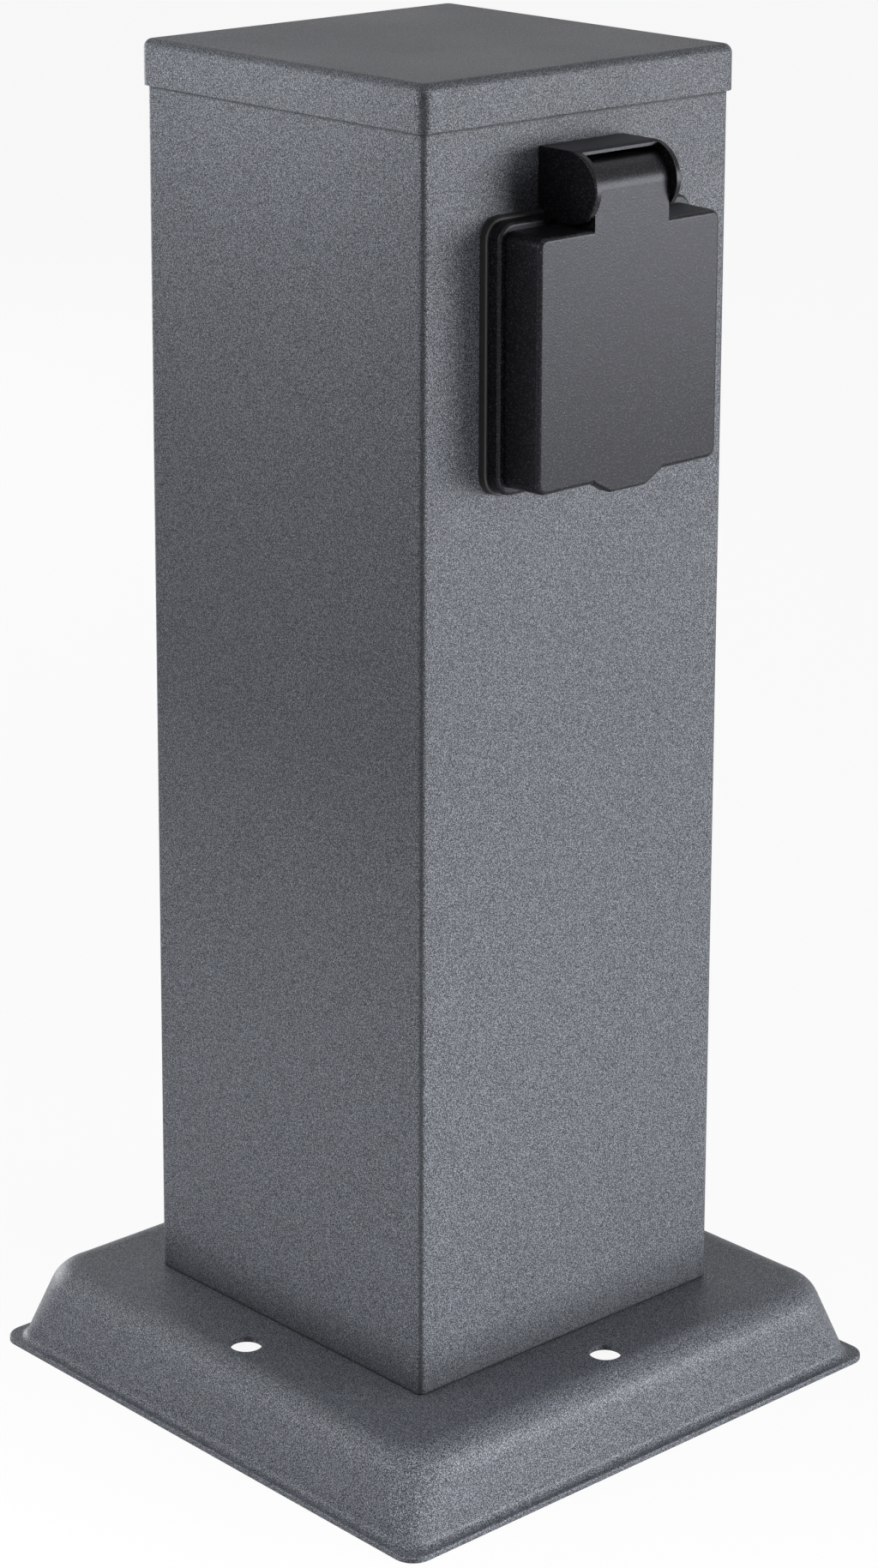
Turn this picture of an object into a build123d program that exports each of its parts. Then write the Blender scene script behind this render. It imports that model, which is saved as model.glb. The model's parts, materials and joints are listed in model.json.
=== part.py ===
from build123d import *
from math import cos, hypot, radians, sqrt, tan
import os

os.makedirs("parts", exist_ok=True)

# Garden socket post: a folded sheet-steel column with a push-on cap, screwed to a pressed
# dish-shaped foot, with one splash-proof earthed socket and its self-closing lid.
# Millimetres, +Z up. Origin: centre of the foot's underside. The socket looks along -Y.

# General clearances and helpers for cuts
cut_overrun = 2.0
close_clearance = 0.05
slide_clearance = 0.1
screw_clearance = 0.25
moving_clearance = 0.3

# Overall sizes
total_height = 377.0
column_width = 110.0
base_width = 176.0

# Pressed foot
base_height = 24.0
base_sheet = 1.5
base_lip = 3.2
base_draft_angle = 8.0
base_rim_corner = 6.0
base_top_corner = 20.0
base_foot_radius = 2.2
base_top_radius = 9.0
base_edge_round = 0.5
anchor_hole_diameter = 9.0
anchor_inset = 2.0

# Column
column_sheet = 1.5
column_corner = 2.0
column_edge_round = 0.6
column_tab_width = 34.0
column_tab_length = 18.0
column_tab_corner = 3.0

# Cap
cap_sheet = 1.2
cap_skirt = 12.5
cap_top_radius = 2.5
cap_rim_round = 0.3

# Column screws and nuts, from beneath through the foot into the folded tabs
column_screw_diameter = 5.0
column_screw_head_diameter = 9.5
column_screw_head_height = 3.0
column_screw_socket = 3.0
column_screw_socket_depth = 1.8
column_screw_head_round = 0.8
column_screw_edge = 9.5
column_nut_across = 8.0
column_nut_height = 4.0
column_screw_end = 1.5

# Rubber grommet where the supply cable comes up through the foot
grommet_bore_diameter = 11.0
grommet_groove_diameter = 20.0
grommet_flange_diameter = 27.0
grommet_flange_thickness = 2.4
grommet_lip_round = 0.8

# Socket outlines, seen from the front
socket_cap_gap = 7.2
gasket_width = 71.2
gasket_height = 72.8
gasket_thickness = 2.4
gasket_corner = 6.0
gasket_edge_round = 0.5
flange_step = 0.8
flange_thickness = 4.0
flange_edge_round = 1.0
cutout_diameter = 56.0
flange_screw_spacing = 47.0
flange_screw_diameter = 4.0
flange_screw_head_diameter = 7.2
flange_screw_head_height = 2.4
flange_screw_head_round = 0.9
flange_screw_slot = 0.9
flange_screw_slot_depth = 1.3
flange_screw_slot_length = 4.2
flange_nut_across = 7.0
flange_nut_height = 3.2
flange_screw_end = 1.2
collar_wall = 2.3
collar_front = 14.2

# Hinge hood of the flange
pivot_depth = 11.6
pivot_rise = 43.1
cheek_radius = 9.6
cheek_thickness = 1.8
hood_plate_thickness = 1.1
hood_plate_front = 14.0
hood_back_gap = 0.3
hood_back_rise = 37.0
hood_back_thickness = 2.1
cheek_edge_round = 0.5
pin_diameter = 3.0
pin_seat_depth = 1.2
pin_end_chamfer = 0.3

# Lid
lid_width = 65.0
lid_height = 66.4
lid_front = 18.8
lid_draft_growth = 0.4
lid_corner = 2.8
lid_wall = 2.0
lid_edge_round = 1.2
lid_rear_gap = 0.2
tongue_width = 26.6
barrel_radius = 7.2
neck_rear = 8.0
spring_recess_width = 8.0
spring_recess_radius = 4.6
lip_top_width = 24.4
lip_bottom_width = 13.0
lip_drop = 3.2
lip_run_back = 4.6
lip_corner_round = 1.6
lip_edge_round = 0.7
seal_rib_wall = 1.0
seal_rib_height = 1.5
rib_clearance = 0.2

# Lid seal
seal_inner_diameter = 42.8
seal_width = 3.2
seal_edge_round = 0.4

# Hinge spring
spring_wire = 0.8
spring_mean_radius = 2.5
spring_pitch = 1.25
spring_turns = 5
spring_leg_end_gap = 0.3

# Socket insert: the moulded well with its contact chambers
well_diameter = 39.2
well_depth = 17.5
well_wall = 1.9
insert_front = 13.8
insert_floor = 2.5
insert_edge_round = 0.6
shoulder_diameter = 54.0
shoulder_thickness = 3.5
pin_hole_diameter = 5.5
pin_hole_chamfer = 0.6
pin_hole_spacing = 19.0
key_rib_width = 5.0
key_rib_height = 1.8
key_rib_setback = 3.0
tower_width = 43.0
tower_height = 22.0
tower_rear = 24.0
tower_corner = 3.0
chamber_wall = 2.0
chamber_side = 2.5
web_width = 10.6
insert_screw_spacing = 48.6
insert_screw_diameter = 2.6
insert_screw_head_diameter = 5.2
insert_screw_head_height = 1.8
insert_screw_head_round = 0.6
insert_screw_bite = 3.0
small_screw_slot = 0.8
small_screw_slot_depth = 0.9

# Earth strap with its two sprung fingers and box clamp
strap_width = 7.0
strap_thickness = 0.8
strap_slot_clearance = 0.5
strap_arm_offset = 0.5
strap_slot_inset = 0.6
finger_front = 9.0
finger_end_gap = 1.0
finger_contact = 5.0
finger_bulge = 2.4
finger_return = 1.2
finger_root = 1.0
strap_bend = 0.9
strap_groove_clearance = 0.2
earth_clamp_drop = 16.0
clamp_bore_diameter = 3.4

# Live and neutral contacts
sleeve_outer_diameter = 6.4
sleeve_inner_diameter = 4.9
sleeve_length = 12.6
sleeve_slit = 0.9
sleeve_slit_length = 7.0
sleeve_setback = 0.2
clamp_width = 6.8
clamp_height = 7.0
clamp_front = 11.0
clamp_length = 9.0
clamp_offset = 6.3
clamp_screw_diameter = 2.6
clamp_screw_head_diameter = 4.0
clamp_screw_head_height = 1.8
clamp_screw_gap = 0.2
clamp_screw_access = 4.5

# Rear cover of the contact chambers
cover_thickness = 2.5
cover_pad = 1.5
cover_wire_hole = 4.0
cover_screw_spacing = 14.0
cover_screw_diameter = 2.2
cover_screw_head_diameter = 5.0
cover_screw_head_height = 1.7
cover_screw_bite = 7.0
cover_edge_round = 0.8

# Bracket, terminal block and earth stud inside the column
bracket_sheet = 1.5
bracket_width = 56.0
bracket_height = 74.0
bracket_foot = 16.0
bracket_bend = 1.2
bracket_corner = 4.0
block_width = 35.0
block_height = 18.0
block_depth = 13.0
block_rise = 48.0
block_pitch = 11.0
block_tower_diameter = 7.0
block_tower_height = 2.0
block_edge_round = 0.8
block_tube_diameter = 5.6
block_tube_bore = 3.8
block_tube_length = 16.0
block_tube_setback = 4.0
block_screw_diameter = 2.6
block_screw_spacing = 8.0
block_screw_head_diameter = 3.4
block_screw_head_height = 1.6
block_screw_sink = 1.0
mount_screw_diameter = 3.0
mount_screw_head_diameter = 5.0
mount_screw_head_height = 1.8
stud_offset = 22.5
stud_rise = 22.0
stud_diameter = 4.0
stud_length = 7.0
stud_head_diameter = 5.4
stud_head_thickness = 1.0
stud_end_chamfer = 0.5
earth_nut_across = 7.0
earth_nut_height = 3.4
earth_nut_flange_diameter = 9.6
earth_nut_flange_thickness = 0.9
lug_ring_diameter = 9.0
lug_sheet = 0.8
lug_bend = 0.8
lug_neck_width = 4.0
lug_neck_length = 8.0
lug_barrel_wall = 0.75
lug_barrel_length = 5.5

# Single-core leads
lead_diameter = 2.8
lead_grip = 6.5
lead_clamp_depth = 7.0
bond_lead_radius = 8.5

# Worked-out places
half_column = column_width / 2
column_bottom = base_height
column_top = total_height - cap_sheet
tab_top = column_bottom + column_sheet
anchor_ring = (half_column + base_width / 2) / 2 - anchor_inset
column_screw_ring = half_column - column_screw_edge
column_inside = column_width - 2 * column_sheet
flange_width = gasket_width - 2 * flange_step
flange_height = gasket_height - 2 * flange_step
flange_rear = gasket_thickness
flange_front = flange_rear + flange_thickness
flange_corner = gasket_corner - flange_step
insert_diameter = well_diameter + 2 * well_wall
collar_bore = insert_diameter + 4 * slide_clearance
collar_diameter = collar_bore + 2 * collar_wall
floor_front = insert_front - well_depth
floor_rear = floor_front - insert_floor
shoulder_rear = flange_rear - shoulder_thickness
lid_rear = flange_front + lid_rear_gap
seal_outer_diameter = seal_inner_diameter + 2 * seal_width
lid_inside_front = lid_front - lid_wall
cheek_outer = tongue_width / 2 + moving_clearance + cheek_thickness
cheek_inner = tongue_width / 2 + moving_clearance
hood_top = pivot_rise + cheek_radius
cap_bottom = total_height - cap_skirt
socket_height = cap_bottom - socket_cap_gap - hood_top
front = Plane(origin=(0, -half_column, socket_height), x_dir=(1, 0, 0), z_dir=(0, -1, 0))
side = Plane(origin=(0, -half_column, socket_height), x_dir=(0, -1, 0), z_dir=(-1, 0, 0))
hinge_side = Plane(
    origin=(0, -half_column - pivot_depth, socket_height + pivot_rise),
    x_dir=(0, -1, 0),
    z_dir=(-1, 0, 0),
)


def save(builder, name):
    builder.part.label = name
    export_step(builder.part, "parts/" + name + ".step")


def wall_half(height, inset):
    """Half width of the foot's sloping wall at a height, moved in square to the wall."""
    slope = radians(base_draft_angle)
    return base_width / 2 - base_lip - (height - base_sheet) * tan(slope) - inset / cos(slope)


# Pressed foot: the hollow beneath it first, then the press form that it is cut from
hollow_top = base_height - base_sheet
with BuildPart() as foot_hollow:
    with BuildSketch():
        RectangleRounded(
            2 * wall_half(0, base_sheet), 2 * wall_half(0, base_sheet), base_rim_corner - base_sheet
        )
    with BuildSketch(Plane.XY.offset(hollow_top)):
        RectangleRounded(
            2 * wall_half(hollow_top, base_sheet),
            2 * wall_half(hollow_top, base_sheet),
            base_top_corner - base_sheet,
        )
    loft()
    fillet(foot_hollow.faces().sort_by(Axis.Z)[-1].edges(), base_top_radius - base_sheet)

with BuildPart() as base_plate:
    with BuildSketch():
        RectangleRounded(base_width, base_width, base_rim_corner)
    extrude(amount=base_sheet)
    with BuildSketch(Plane.XY.offset(base_sheet)):
        RectangleRounded(2 * wall_half(base_sheet, 0), 2 * wall_half(base_sheet, 0), base_rim_corner)
    with BuildSketch(Plane.XY.offset(base_height)):
        RectangleRounded(
            2 * wall_half(base_height, 0), 2 * wall_half(base_height, 0), base_top_corner
        )
    loft()
    lip = base_plate.faces().filter_by(Plane.XY).group_by(Axis.Z)[1][0]
    fillet(lip.inner_wires()[0].edges(), base_foot_radius)
    fillet(base_plate.faces().sort_by(Axis.Z)[-1].edges(), base_top_radius)
    lip = base_plate.faces().filter_by(Plane.XY).group_by(Axis.Z)[1][0]
    fillet(lip.outer_wire().edges(), base_edge_round)
    add(foot_hollow.part, mode=Mode.SUBTRACT)
    underside = base_plate.faces().sort_by(Axis.Z)[0]
    fillet(underside.inner_wires()[0].edges(), base_foot_radius)
    with BuildSketch(Plane.XY.offset(base_height)):
        with PolarLocations(anchor_ring, 4):
            Circle(anchor_hole_diameter / 2)
        with PolarLocations(column_screw_ring, 4):
            Circle(column_screw_diameter / 2 + screw_clearance)
        Circle(grommet_groove_diameter / 2)
    extrude(amount=-2 * base_sheet, mode=Mode.SUBTRACT)
save(base_plate, "base_plate")

# Column: a square tube with four tabs folded in at its foot and the socket's cut-out
tab_reach = column_tab_length - column_sheet / 2
with BuildPart() as column:
    with BuildSketch(Plane.XY.offset(column_bottom)):
        RectangleRounded(column_width, column_width, column_corner)
        RectangleRounded(
            column_inside, column_inside, column_corner - column_sheet, mode=Mode.SUBTRACT
        )
    extrude(amount=column_top - column_bottom)
    fillet(column.faces().sort_by(Axis.Z)[-1].outer_wire().edges(), column_edge_round)
    fillet(column.faces().sort_by(Axis.Z)[0].outer_wire().edges(), column_edge_round)
    with BuildSketch(Plane.XY.offset(column_bottom)) as tabs:
        with PolarLocations(half_column - column_tab_length + tab_reach / 2, 4):
            Rectangle(tab_reach, column_tab_width)
        tab_ends = tabs.vertices().sort_by(lambda v: hypot(v.X, v.Y))[:8]
        fillet(tab_ends, column_tab_corner)
        with PolarLocations(column_screw_ring, 4):
            Circle(column_screw_diameter / 2 + screw_clearance, mode=Mode.SUBTRACT)
    extrude(amount=column_sheet)
    with BuildSketch(front.offset(cut_overrun)):
        Circle(cutout_diameter / 2)
        with GridLocations(flange_screw_spacing, flange_screw_spacing, 2, 2):
            Circle(flange_screw_diameter / 2 + screw_clearance)
    extrude(amount=-column_sheet - 2 * cut_overrun, mode=Mode.SUBTRACT)
save(column, "column")

# Cap: a shallow pressed lid pushed over the column, seated on the column's top edge
cap_inside = column_width + 2 * slide_clearance
cap_inner_corner = column_corner + slide_clearance
with BuildPart() as cap:
    with BuildSketch(Plane.XY.offset(cap_bottom)):
        RectangleRounded(
            cap_inside + 2 * cap_sheet, cap_inside + 2 * cap_sheet, cap_inner_corner + cap_sheet
        )
    extrude(amount=cap_skirt)
    fillet(cap.faces().sort_by(Axis.Z)[-1].edges(), cap_top_radius)
    fillet(cap.faces().sort_by(Axis.Z)[0].edges(), cap_rim_round)
    with BuildSketch(Plane.XY.offset(cap_bottom)):
        RectangleRounded(cap_inside, cap_inside, cap_inner_corner)
    extrude(amount=cap_skirt - cap_sheet, mode=Mode.SUBTRACT)
    ceiling = cap.faces().filter_by(Plane.XY).group_by(Axis.Z)[-2][0]
    fillet(ceiling.edges(), column_edge_round)
save(cap, "cap")

# Screws from beneath the foot, and the nuts on the folded tabs and on the bracket's foot
column_shank_top = tab_top + bracket_sheet + column_nut_height + column_screw_end
with BuildPart() as column_screws:
    with BuildSketch(Plane.XY.offset(hollow_top - column_screw_head_height)):
        with PolarLocations(column_screw_ring, 4):
            Circle(column_screw_head_diameter / 2)
    extrude(amount=column_screw_head_height)
    head_rims = column_screws.edges().group_by(Axis.Z)[0]
    fillet(head_rims, column_screw_head_round)
    with BuildSketch(Plane.XY.offset(hollow_top)):
        with PolarLocations(column_screw_ring, 4):
            Circle(column_screw_diameter / 2)
    extrude(amount=column_shank_top - hollow_top)
    with BuildSketch(Plane.XY.offset(hollow_top - column_screw_head_height)):
        with PolarLocations(column_screw_ring, 4):
            RegularPolygon(column_screw_socket / 2, 6, major_radius=False)
    extrude(amount=column_screw_socket_depth, mode=Mode.SUBTRACT)
save(column_screws, "column_screws")

rear_turn = 1
with BuildPart() as column_nuts:
    for turn in range(4):
        seat = tab_top + (bracket_sheet if turn == rear_turn else 0)
        with BuildSketch(Plane.XY.offset(seat)):
            with PolarLocations(column_screw_ring, 1, start_angle=turn * 90):
                RegularPolygon(column_nut_across / 2, 6, major_radius=False)
                Circle(column_screw_diameter / 2 + close_clearance, mode=Mode.SUBTRACT)
        extrude(amount=column_nut_height)
save(column_nuts, "column_nuts")

# Rubber grommet, sprung into the foot's cable hole
grommet_bore = grommet_bore_diameter / 2
grommet_groove = grommet_groove_diameter / 2
grommet_rim = grommet_flange_diameter / 2
with BuildPart() as cable_grommet:
    with BuildSketch(Plane.XZ):
        with BuildLine():
            Polyline(
                (grommet_bore, hollow_top - grommet_flange_thickness),
                (grommet_rim, hollow_top - grommet_flange_thickness),
                (grommet_rim, hollow_top),
                (grommet_groove, hollow_top),
                (grommet_groove, base_height),
                (grommet_rim, base_height),
                (grommet_rim, base_height + grommet_flange_thickness),
                (grommet_bore, base_height + grommet_flange_thickness),
                close=True,
            )
        make_face()
    revolve(axis=Axis.Z)
    lips = cable_grommet.edges().filter_by(GeomType.CIRCLE)
    fillet(lips.group_by(Axis.Z)[0].sort_by(SortBy.RADIUS)[-1], grommet_lip_round)
    lips = cable_grommet.edges().filter_by(GeomType.CIRCLE)
    fillet(lips.group_by(Axis.Z)[-1].sort_by(SortBy.RADIUS)[-1], grommet_lip_round)
save(cable_grommet, "cable_grommet")

# Flat gasket between the column and the socket's flange
with BuildPart() as socket_gasket:
    with BuildSketch(front):
        RectangleRounded(gasket_width, gasket_height, gasket_corner)
    extrude(amount=gasket_thickness)
    fillet(socket_gasket.faces().sort_by(Axis.Y)[0].edges(), gasket_edge_round)
    with BuildSketch(front):
        Circle(cutout_diameter / 2)
        with GridLocations(flange_screw_spacing, flange_screw_spacing, 2, 2):
            Circle(flange_screw_diameter / 2 + screw_clearance)
    extrude(amount=gasket_thickness, mode=Mode.SUBTRACT)
save(socket_gasket, "socket_gasket")

# Moulded flange: plate, collar round the well, and the hinge hood above with its two cheeks
flange_top = flange_height / 2
cheek_foot = lid_height / 2 + moving_clearance
hood_far = pivot_depth + 2 * cheek_radius
hood_back_front = hood_back_gap + hood_back_thickness
with BuildPart() as hood_form:
    with BuildSketch(side):
        with BuildLine():
            Polyline(
                (hood_back_gap, hood_back_rise),
                (flange_rear, hood_back_rise),
                (flange_rear, cheek_foot),
                (pivot_depth, cheek_foot),
                (pivot_depth, hood_top),
                (hood_back_gap, hood_top),
                close=True,
            )
        make_face()
        with Locations((pivot_depth, pivot_rise)):
            Circle(cheek_radius)
    extrude(amount=cheek_outer, both=True)
    cheek_faces = hood_form.faces().filter_by(Axis.X)
    fillet(cheek_faces.edges().filter_by(GeomType.CIRCLE), cheek_edge_round)

with BuildPart() as socket_flange:
    with BuildSketch(front.offset(flange_rear)):
        RectangleRounded(flange_width, flange_height, flange_corner)
    extrude(amount=flange_thickness)
    fillet(socket_flange.faces().sort_by(Axis.Y)[0].edges(), flange_edge_round)
    with BuildSketch(front.offset(flange_rear)):
        Circle(collar_diameter / 2)
    extrude(amount=collar_front - flange_rear)
    add(hood_form.part)
    with BuildSketch(side):
        with BuildLine():
            Polyline(
                (hood_back_front, flange_top),
                (flange_front, flange_top),
                (flange_front, cheek_foot - cut_overrun),
                (hood_far, cheek_foot - cut_overrun),
                (hood_far, hood_top + cut_overrun),
                (hood_plate_front, hood_top + cut_overrun),
                (hood_plate_front, hood_top - hood_plate_thickness),
                (hood_back_front, hood_top - hood_plate_thickness),
                close=True,
            )
        make_face()
    extrude(amount=cheek_inner, both=True, mode=Mode.SUBTRACT)
    with BuildSketch(side):
        with Locations((pivot_depth, pivot_rise)):
            Circle(pin_diameter / 2)
    extrude(amount=cheek_inner + pin_seat_depth, both=True, mode=Mode.SUBTRACT)
    with BuildSketch(front.offset(collar_front + cut_overrun)):
        Circle(collar_bore / 2)
        with GridLocations(flange_screw_spacing, flange_screw_spacing, 2, 2):
            Circle(flange_screw_diameter / 2 + screw_clearance)
    extrude(amount=-collar_front - 2 * cut_overrun, mode=Mode.SUBTRACT)
    with BuildSketch(front.offset(flange_rear - cut_overrun)):
        with GridLocations(insert_screw_spacing, 0, 2, 1):
            Circle(insert_screw_diameter / 2 + close_clearance)
    extrude(
        amount=cut_overrun + insert_screw_bite + moving_clearance, mode=Mode.SUBTRACT
    )
save(socket_flange, "socket_flange")

# Four flange screws under the lid, with their nuts behind the column's wall
with BuildPart() as flange_screws:
    with BuildSketch(front.offset(flange_front)):
        with GridLocations(flange_screw_spacing, flange_screw_spacing, 2, 2):
            Circle(flange_screw_head_diameter / 2)
    extrude(amount=flange_screw_head_height)
    fillet(flange_screws.edges().group_by(Axis.Y)[0], flange_screw_head_round)
    with BuildSketch(front.offset(flange_front)):
        with GridLocations(flange_screw_spacing, flange_screw_spacing, 2, 2):
            Circle(flange_screw_diameter / 2)
    extrude(amount=-flange_front - column_sheet - flange_nut_height - flange_screw_end)
    with BuildSketch(front.offset(flange_front + flange_screw_head_height)):
        with GridLocations(flange_screw_spacing, flange_screw_spacing, 2, 2):
            Rectangle(flange_screw_slot_length, flange_screw_slot)
            Rectangle(flange_screw_slot, flange_screw_slot_length)
    extrude(amount=-flange_screw_slot_depth, mode=Mode.SUBTRACT)
save(flange_screws, "flange_screws")

with BuildPart() as flange_nuts:
    with BuildSketch(front.offset(-column_sheet)):
        with GridLocations(flange_screw_spacing, flange_screw_spacing, 2, 2):
            RegularPolygon(flange_nut_across / 2, 6, major_radius=False)
            Circle(flange_screw_diameter / 2 + close_clearance, mode=Mode.SUBTRACT)
    extrude(amount=-flange_nut_height)
save(flange_nuts, "flange_nuts")

# Lid: a drafted box shell with its hinge tongue, the spring's recess and a finger lip
lid_top = lid_height / 2
with BuildPart() as lid:
    with BuildSketch(front.offset(lid_rear)):
        RectangleRounded(
            lid_width + lid_draft_growth, lid_height + lid_draft_growth, lid_corner
        )
    with BuildSketch(front.offset(lid_front)):
        RectangleRounded(lid_width, lid_height, lid_corner)
    loft()
    fillet(lid.faces().sort_by(Axis.Y)[0].edges(), lid_edge_round)
    with BuildSketch(front.offset(lid_rear)):
        RectangleRounded(
            lid_width - 2 * lid_wall, lid_height - 2 * lid_wall, lid_corner - lid_wall / 2
        )
    extrude(amount=lid_inside_front - lid_rear, mode=Mode.SUBTRACT)
    with BuildSketch(side):
        with Locations((pivot_depth, pivot_rise)):
            Circle(barrel_radius)
        with BuildLine():
            Polyline(
                (neck_rear, lid_top - lid_wall),
                (lid_front, lid_top - lid_wall),
                (lid_front, pivot_rise),
                (neck_rear, pivot_rise),
                close=True,
            )
        make_face()
    extrude(amount=tongue_width / 2, both=True)
    with BuildSketch(side):
        with Locations((pivot_depth, pivot_rise)):
            Circle(pin_diameter / 2 + close_clearance)
    extrude(amount=tongue_width, both=True, mode=Mode.SUBTRACT)
    with BuildSketch(side):
        with Locations((pivot_depth, pivot_rise)):
            Circle(spring_recess_radius)
        with BuildLine():
            Polyline(
                (pivot_depth - barrel_radius - cut_overrun, pivot_rise - spring_recess_radius),
                (pivot_depth, pivot_rise - spring_recess_radius),
                (pivot_depth, pivot_rise + barrel_radius + cut_overrun),
                (pivot_depth - barrel_radius - cut_overrun, pivot_rise + barrel_radius + cut_overrun),
                close=True,
            )
        make_face()
    extrude(amount=spring_recess_width / 2, both=True, mode=Mode.SUBTRACT)
    with BuildSketch(front.offset(lid_front)) as lip_outline:
        with BuildLine():
            Polyline(
                (-lip_top_width / 2, -lid_top + lid_wall),
                (-lip_top_width / 2, -lid_top),
                (-lip_bottom_width / 2, -lid_top - lip_drop),
                (lip_bottom_width / 2, -lid_top - lip_drop),
                (lip_top_width / 2, -lid_top),
                (lip_top_width / 2, -lid_top + lid_wall),
                close=True,
            )
        make_face()
        fillet(lip_outline.vertices().group_by(Axis.Y)[0], lip_corner_round)
    extrude(amount=-lip_run_back)
    lip_rims = lid.faces().sort_by(Axis.Z)[0].edges().filter_by(Axis.X)
    fillet(lip_rims, lip_edge_round)
    with BuildSketch(front.offset(lid_inside_front)):
        Circle(seal_inner_diameter / 2 - rib_clearance)
        Circle(seal_inner_diameter / 2 - rib_clearance - seal_rib_wall, mode=Mode.SUBTRACT)
        Circle(seal_outer_diameter / 2 + rib_clearance + seal_rib_wall)
        Circle(seal_outer_diameter / 2 + rib_clearance, mode=Mode.SUBTRACT)
    extrude(amount=-seal_rib_height)
save(lid, "lid")

# Silicone ring in the lid, just clear of the collar when the lid is shut
with BuildPart() as lid_seal:
    with BuildSketch(front.offset(collar_front + moving_clearance)):
        Circle(seal_outer_diameter / 2)
        Circle(seal_inner_diameter / 2, mode=Mode.SUBTRACT)
    extrude(amount=lid_inside_front - collar_front - moving_clearance)
    fillet(lid_seal.edges().group_by(Axis.Y)[-1], seal_edge_round)
save(lid_seal, "lid_seal")

# Hinge pin, held in the blind seats of the two cheeks
pin_half = cheek_inner + pin_seat_depth
with BuildPart() as hinge_pin:
    with BuildSketch(hinge_side):
        Circle(pin_diameter / 2 - close_clearance / 2)
    extrude(amount=pin_half, both=True)
    chamfer(hinge_pin.edges().filter_by(GeomType.CIRCLE), pin_end_chamfer)
save(hinge_pin, "hinge_pin")

# Torsion spring round the pin: one leg on the hood's back wall, one inside the tongue
spring_half = spring_turns * spring_pitch / 2
spring_y = -half_column - pivot_depth
spring_z = socket_height + pivot_rise
fixed_leg_y = -half_column - hood_back_front - spring_leg_end_gap
moving_leg = sqrt(spring_recess_radius**2 - (spring_mean_radius + spring_wire / 2) ** 2)
with BuildPart() as hinge_spring:
    with BuildLine() as spring_line:
        coil = Helix(
            spring_pitch,
            spring_turns * spring_pitch,
            spring_mean_radius,
            center=(spring_half, spring_y, spring_z),
            direction=(-1, 0, 0),
        )
        Line((coil @ 0).X * Vector(1, 0, 0) + Vector(0, fixed_leg_y, (coil @ 0).Z), coil @ 0)
        Line(coil @ 1, (coil @ 1) - Vector(0, moving_leg - spring_leg_end_gap, 0))
    with BuildSketch(Plane(origin=spring_line.line @ 0, z_dir=spring_line.line % 0)):
        Circle(spring_wire / 2)
    sweep(path=spring_line.line)
save(hinge_spring, "hinge_spring")

# Socket insert: the well with its floor, key ribs and finger slots, and the contact chambers
insert_radius = insert_diameter / 2
well_radius = well_diameter / 2
tower_depth = tower_rear + floor_rear
chamber_width = tower_width / 2 - web_width / 2 - chamber_wall
chamber_place = web_width / 2 + chamber_width / 2
chamber_height = tower_height - 2 * chamber_side
strap_arm = well_radius + strap_arm_offset
slot_inner = well_radius - strap_slot_inset
slot_outer = insert_radius + cut_overrun
slot_width = strap_width + 2 * strap_slot_clearance
groove_depth = strap_thickness + strap_groove_clearance
clamp_place = pin_hole_spacing / 2 + clamp_offset
clamp_axis = clamp_front + clamp_length / 2
with BuildPart() as socket_insert:
    with BuildSketch(front.offset(floor_rear)):
        Circle(insert_radius)
    extrude(amount=insert_front - floor_rear)
    with BuildSketch(front.offset(shoulder_rear)):
        Circle(shoulder_diameter / 2)
    extrude(amount=shoulder_thickness)
    with BuildSketch(front.offset(floor_rear)):
        RectangleRounded(tower_width, tower_height, tower_corner)
    extrude(amount=-tower_depth)
    with BuildSketch(front.offset(insert_front)):
        Circle(well_radius)
    extrude(amount=-well_depth, mode=Mode.SUBTRACT)
    fillet(socket_insert.edges().group_by(Axis.Y)[0], insert_edge_round)
    with BuildSketch(front.offset(floor_front)):
        with GridLocations(2 * well_radius - key_rib_height, 0, 2, 1):
            Rectangle(key_rib_height + well_wall, key_rib_width)
    extrude(amount=well_depth - key_rib_setback)
    with BuildSketch(front.offset(floor_front)):
        with GridLocations(pin_hole_spacing, 0, 2, 1):
            Circle(pin_hole_diameter / 2)
    extrude(amount=-insert_floor, mode=Mode.SUBTRACT)
    rims = socket_insert.edges().filter_by(GeomType.CIRCLE).filter_by(lambda rim: rim.is_closed)
    chamfer(rims.group_by(SortBy.RADIUS)[0].group_by(Axis.Y)[0], pin_hole_chamfer)
    with BuildSketch(front.offset(-tower_rear)):
        with GridLocations(2 * chamber_place, 0, 2, 1):
            Rectangle(chamber_width, chamber_height)
    extrude(amount=tower_depth, mode=Mode.SUBTRACT)
    with BuildSketch(front.offset(floor_rear - groove_depth)):
        with GridLocations(0, slot_inner + slot_outer, 1, 2):
            Rectangle(slot_width, slot_outer - slot_inner)
    extrude(amount=finger_front + finger_end_gap - floor_rear + groove_depth, mode=Mode.SUBTRACT)
    with BuildSketch(front.offset(floor_rear - groove_depth)):
        Rectangle(slot_width, tower_height + cut_overrun)
    extrude(amount=groove_depth, mode=Mode.SUBTRACT)
    with BuildSketch(front.offset(-tower_rear)):
        with GridLocations(0, cover_screw_spacing, 1, 2):
            Circle(cover_screw_diameter / 2 + close_clearance)
    extrude(amount=cover_screw_bite + screw_clearance, mode=Mode.SUBTRACT)
    with BuildSketch(front.offset(shoulder_rear)):
        with GridLocations(insert_screw_spacing, 0, 2, 1):
            Circle(insert_screw_diameter / 2 + screw_clearance)
    extrude(amount=shoulder_thickness, mode=Mode.SUBTRACT)
    for pole in (-1, 1):
        with BuildSketch(side.offset(pole * tower_width / 2)):
            with Locations((-clamp_axis, 0)):
                Circle(clamp_screw_access / 2)
        extrude(amount=-pole * chamber_wall, mode=Mode.SUBTRACT)
save(socket_insert, "socket_insert")

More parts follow.
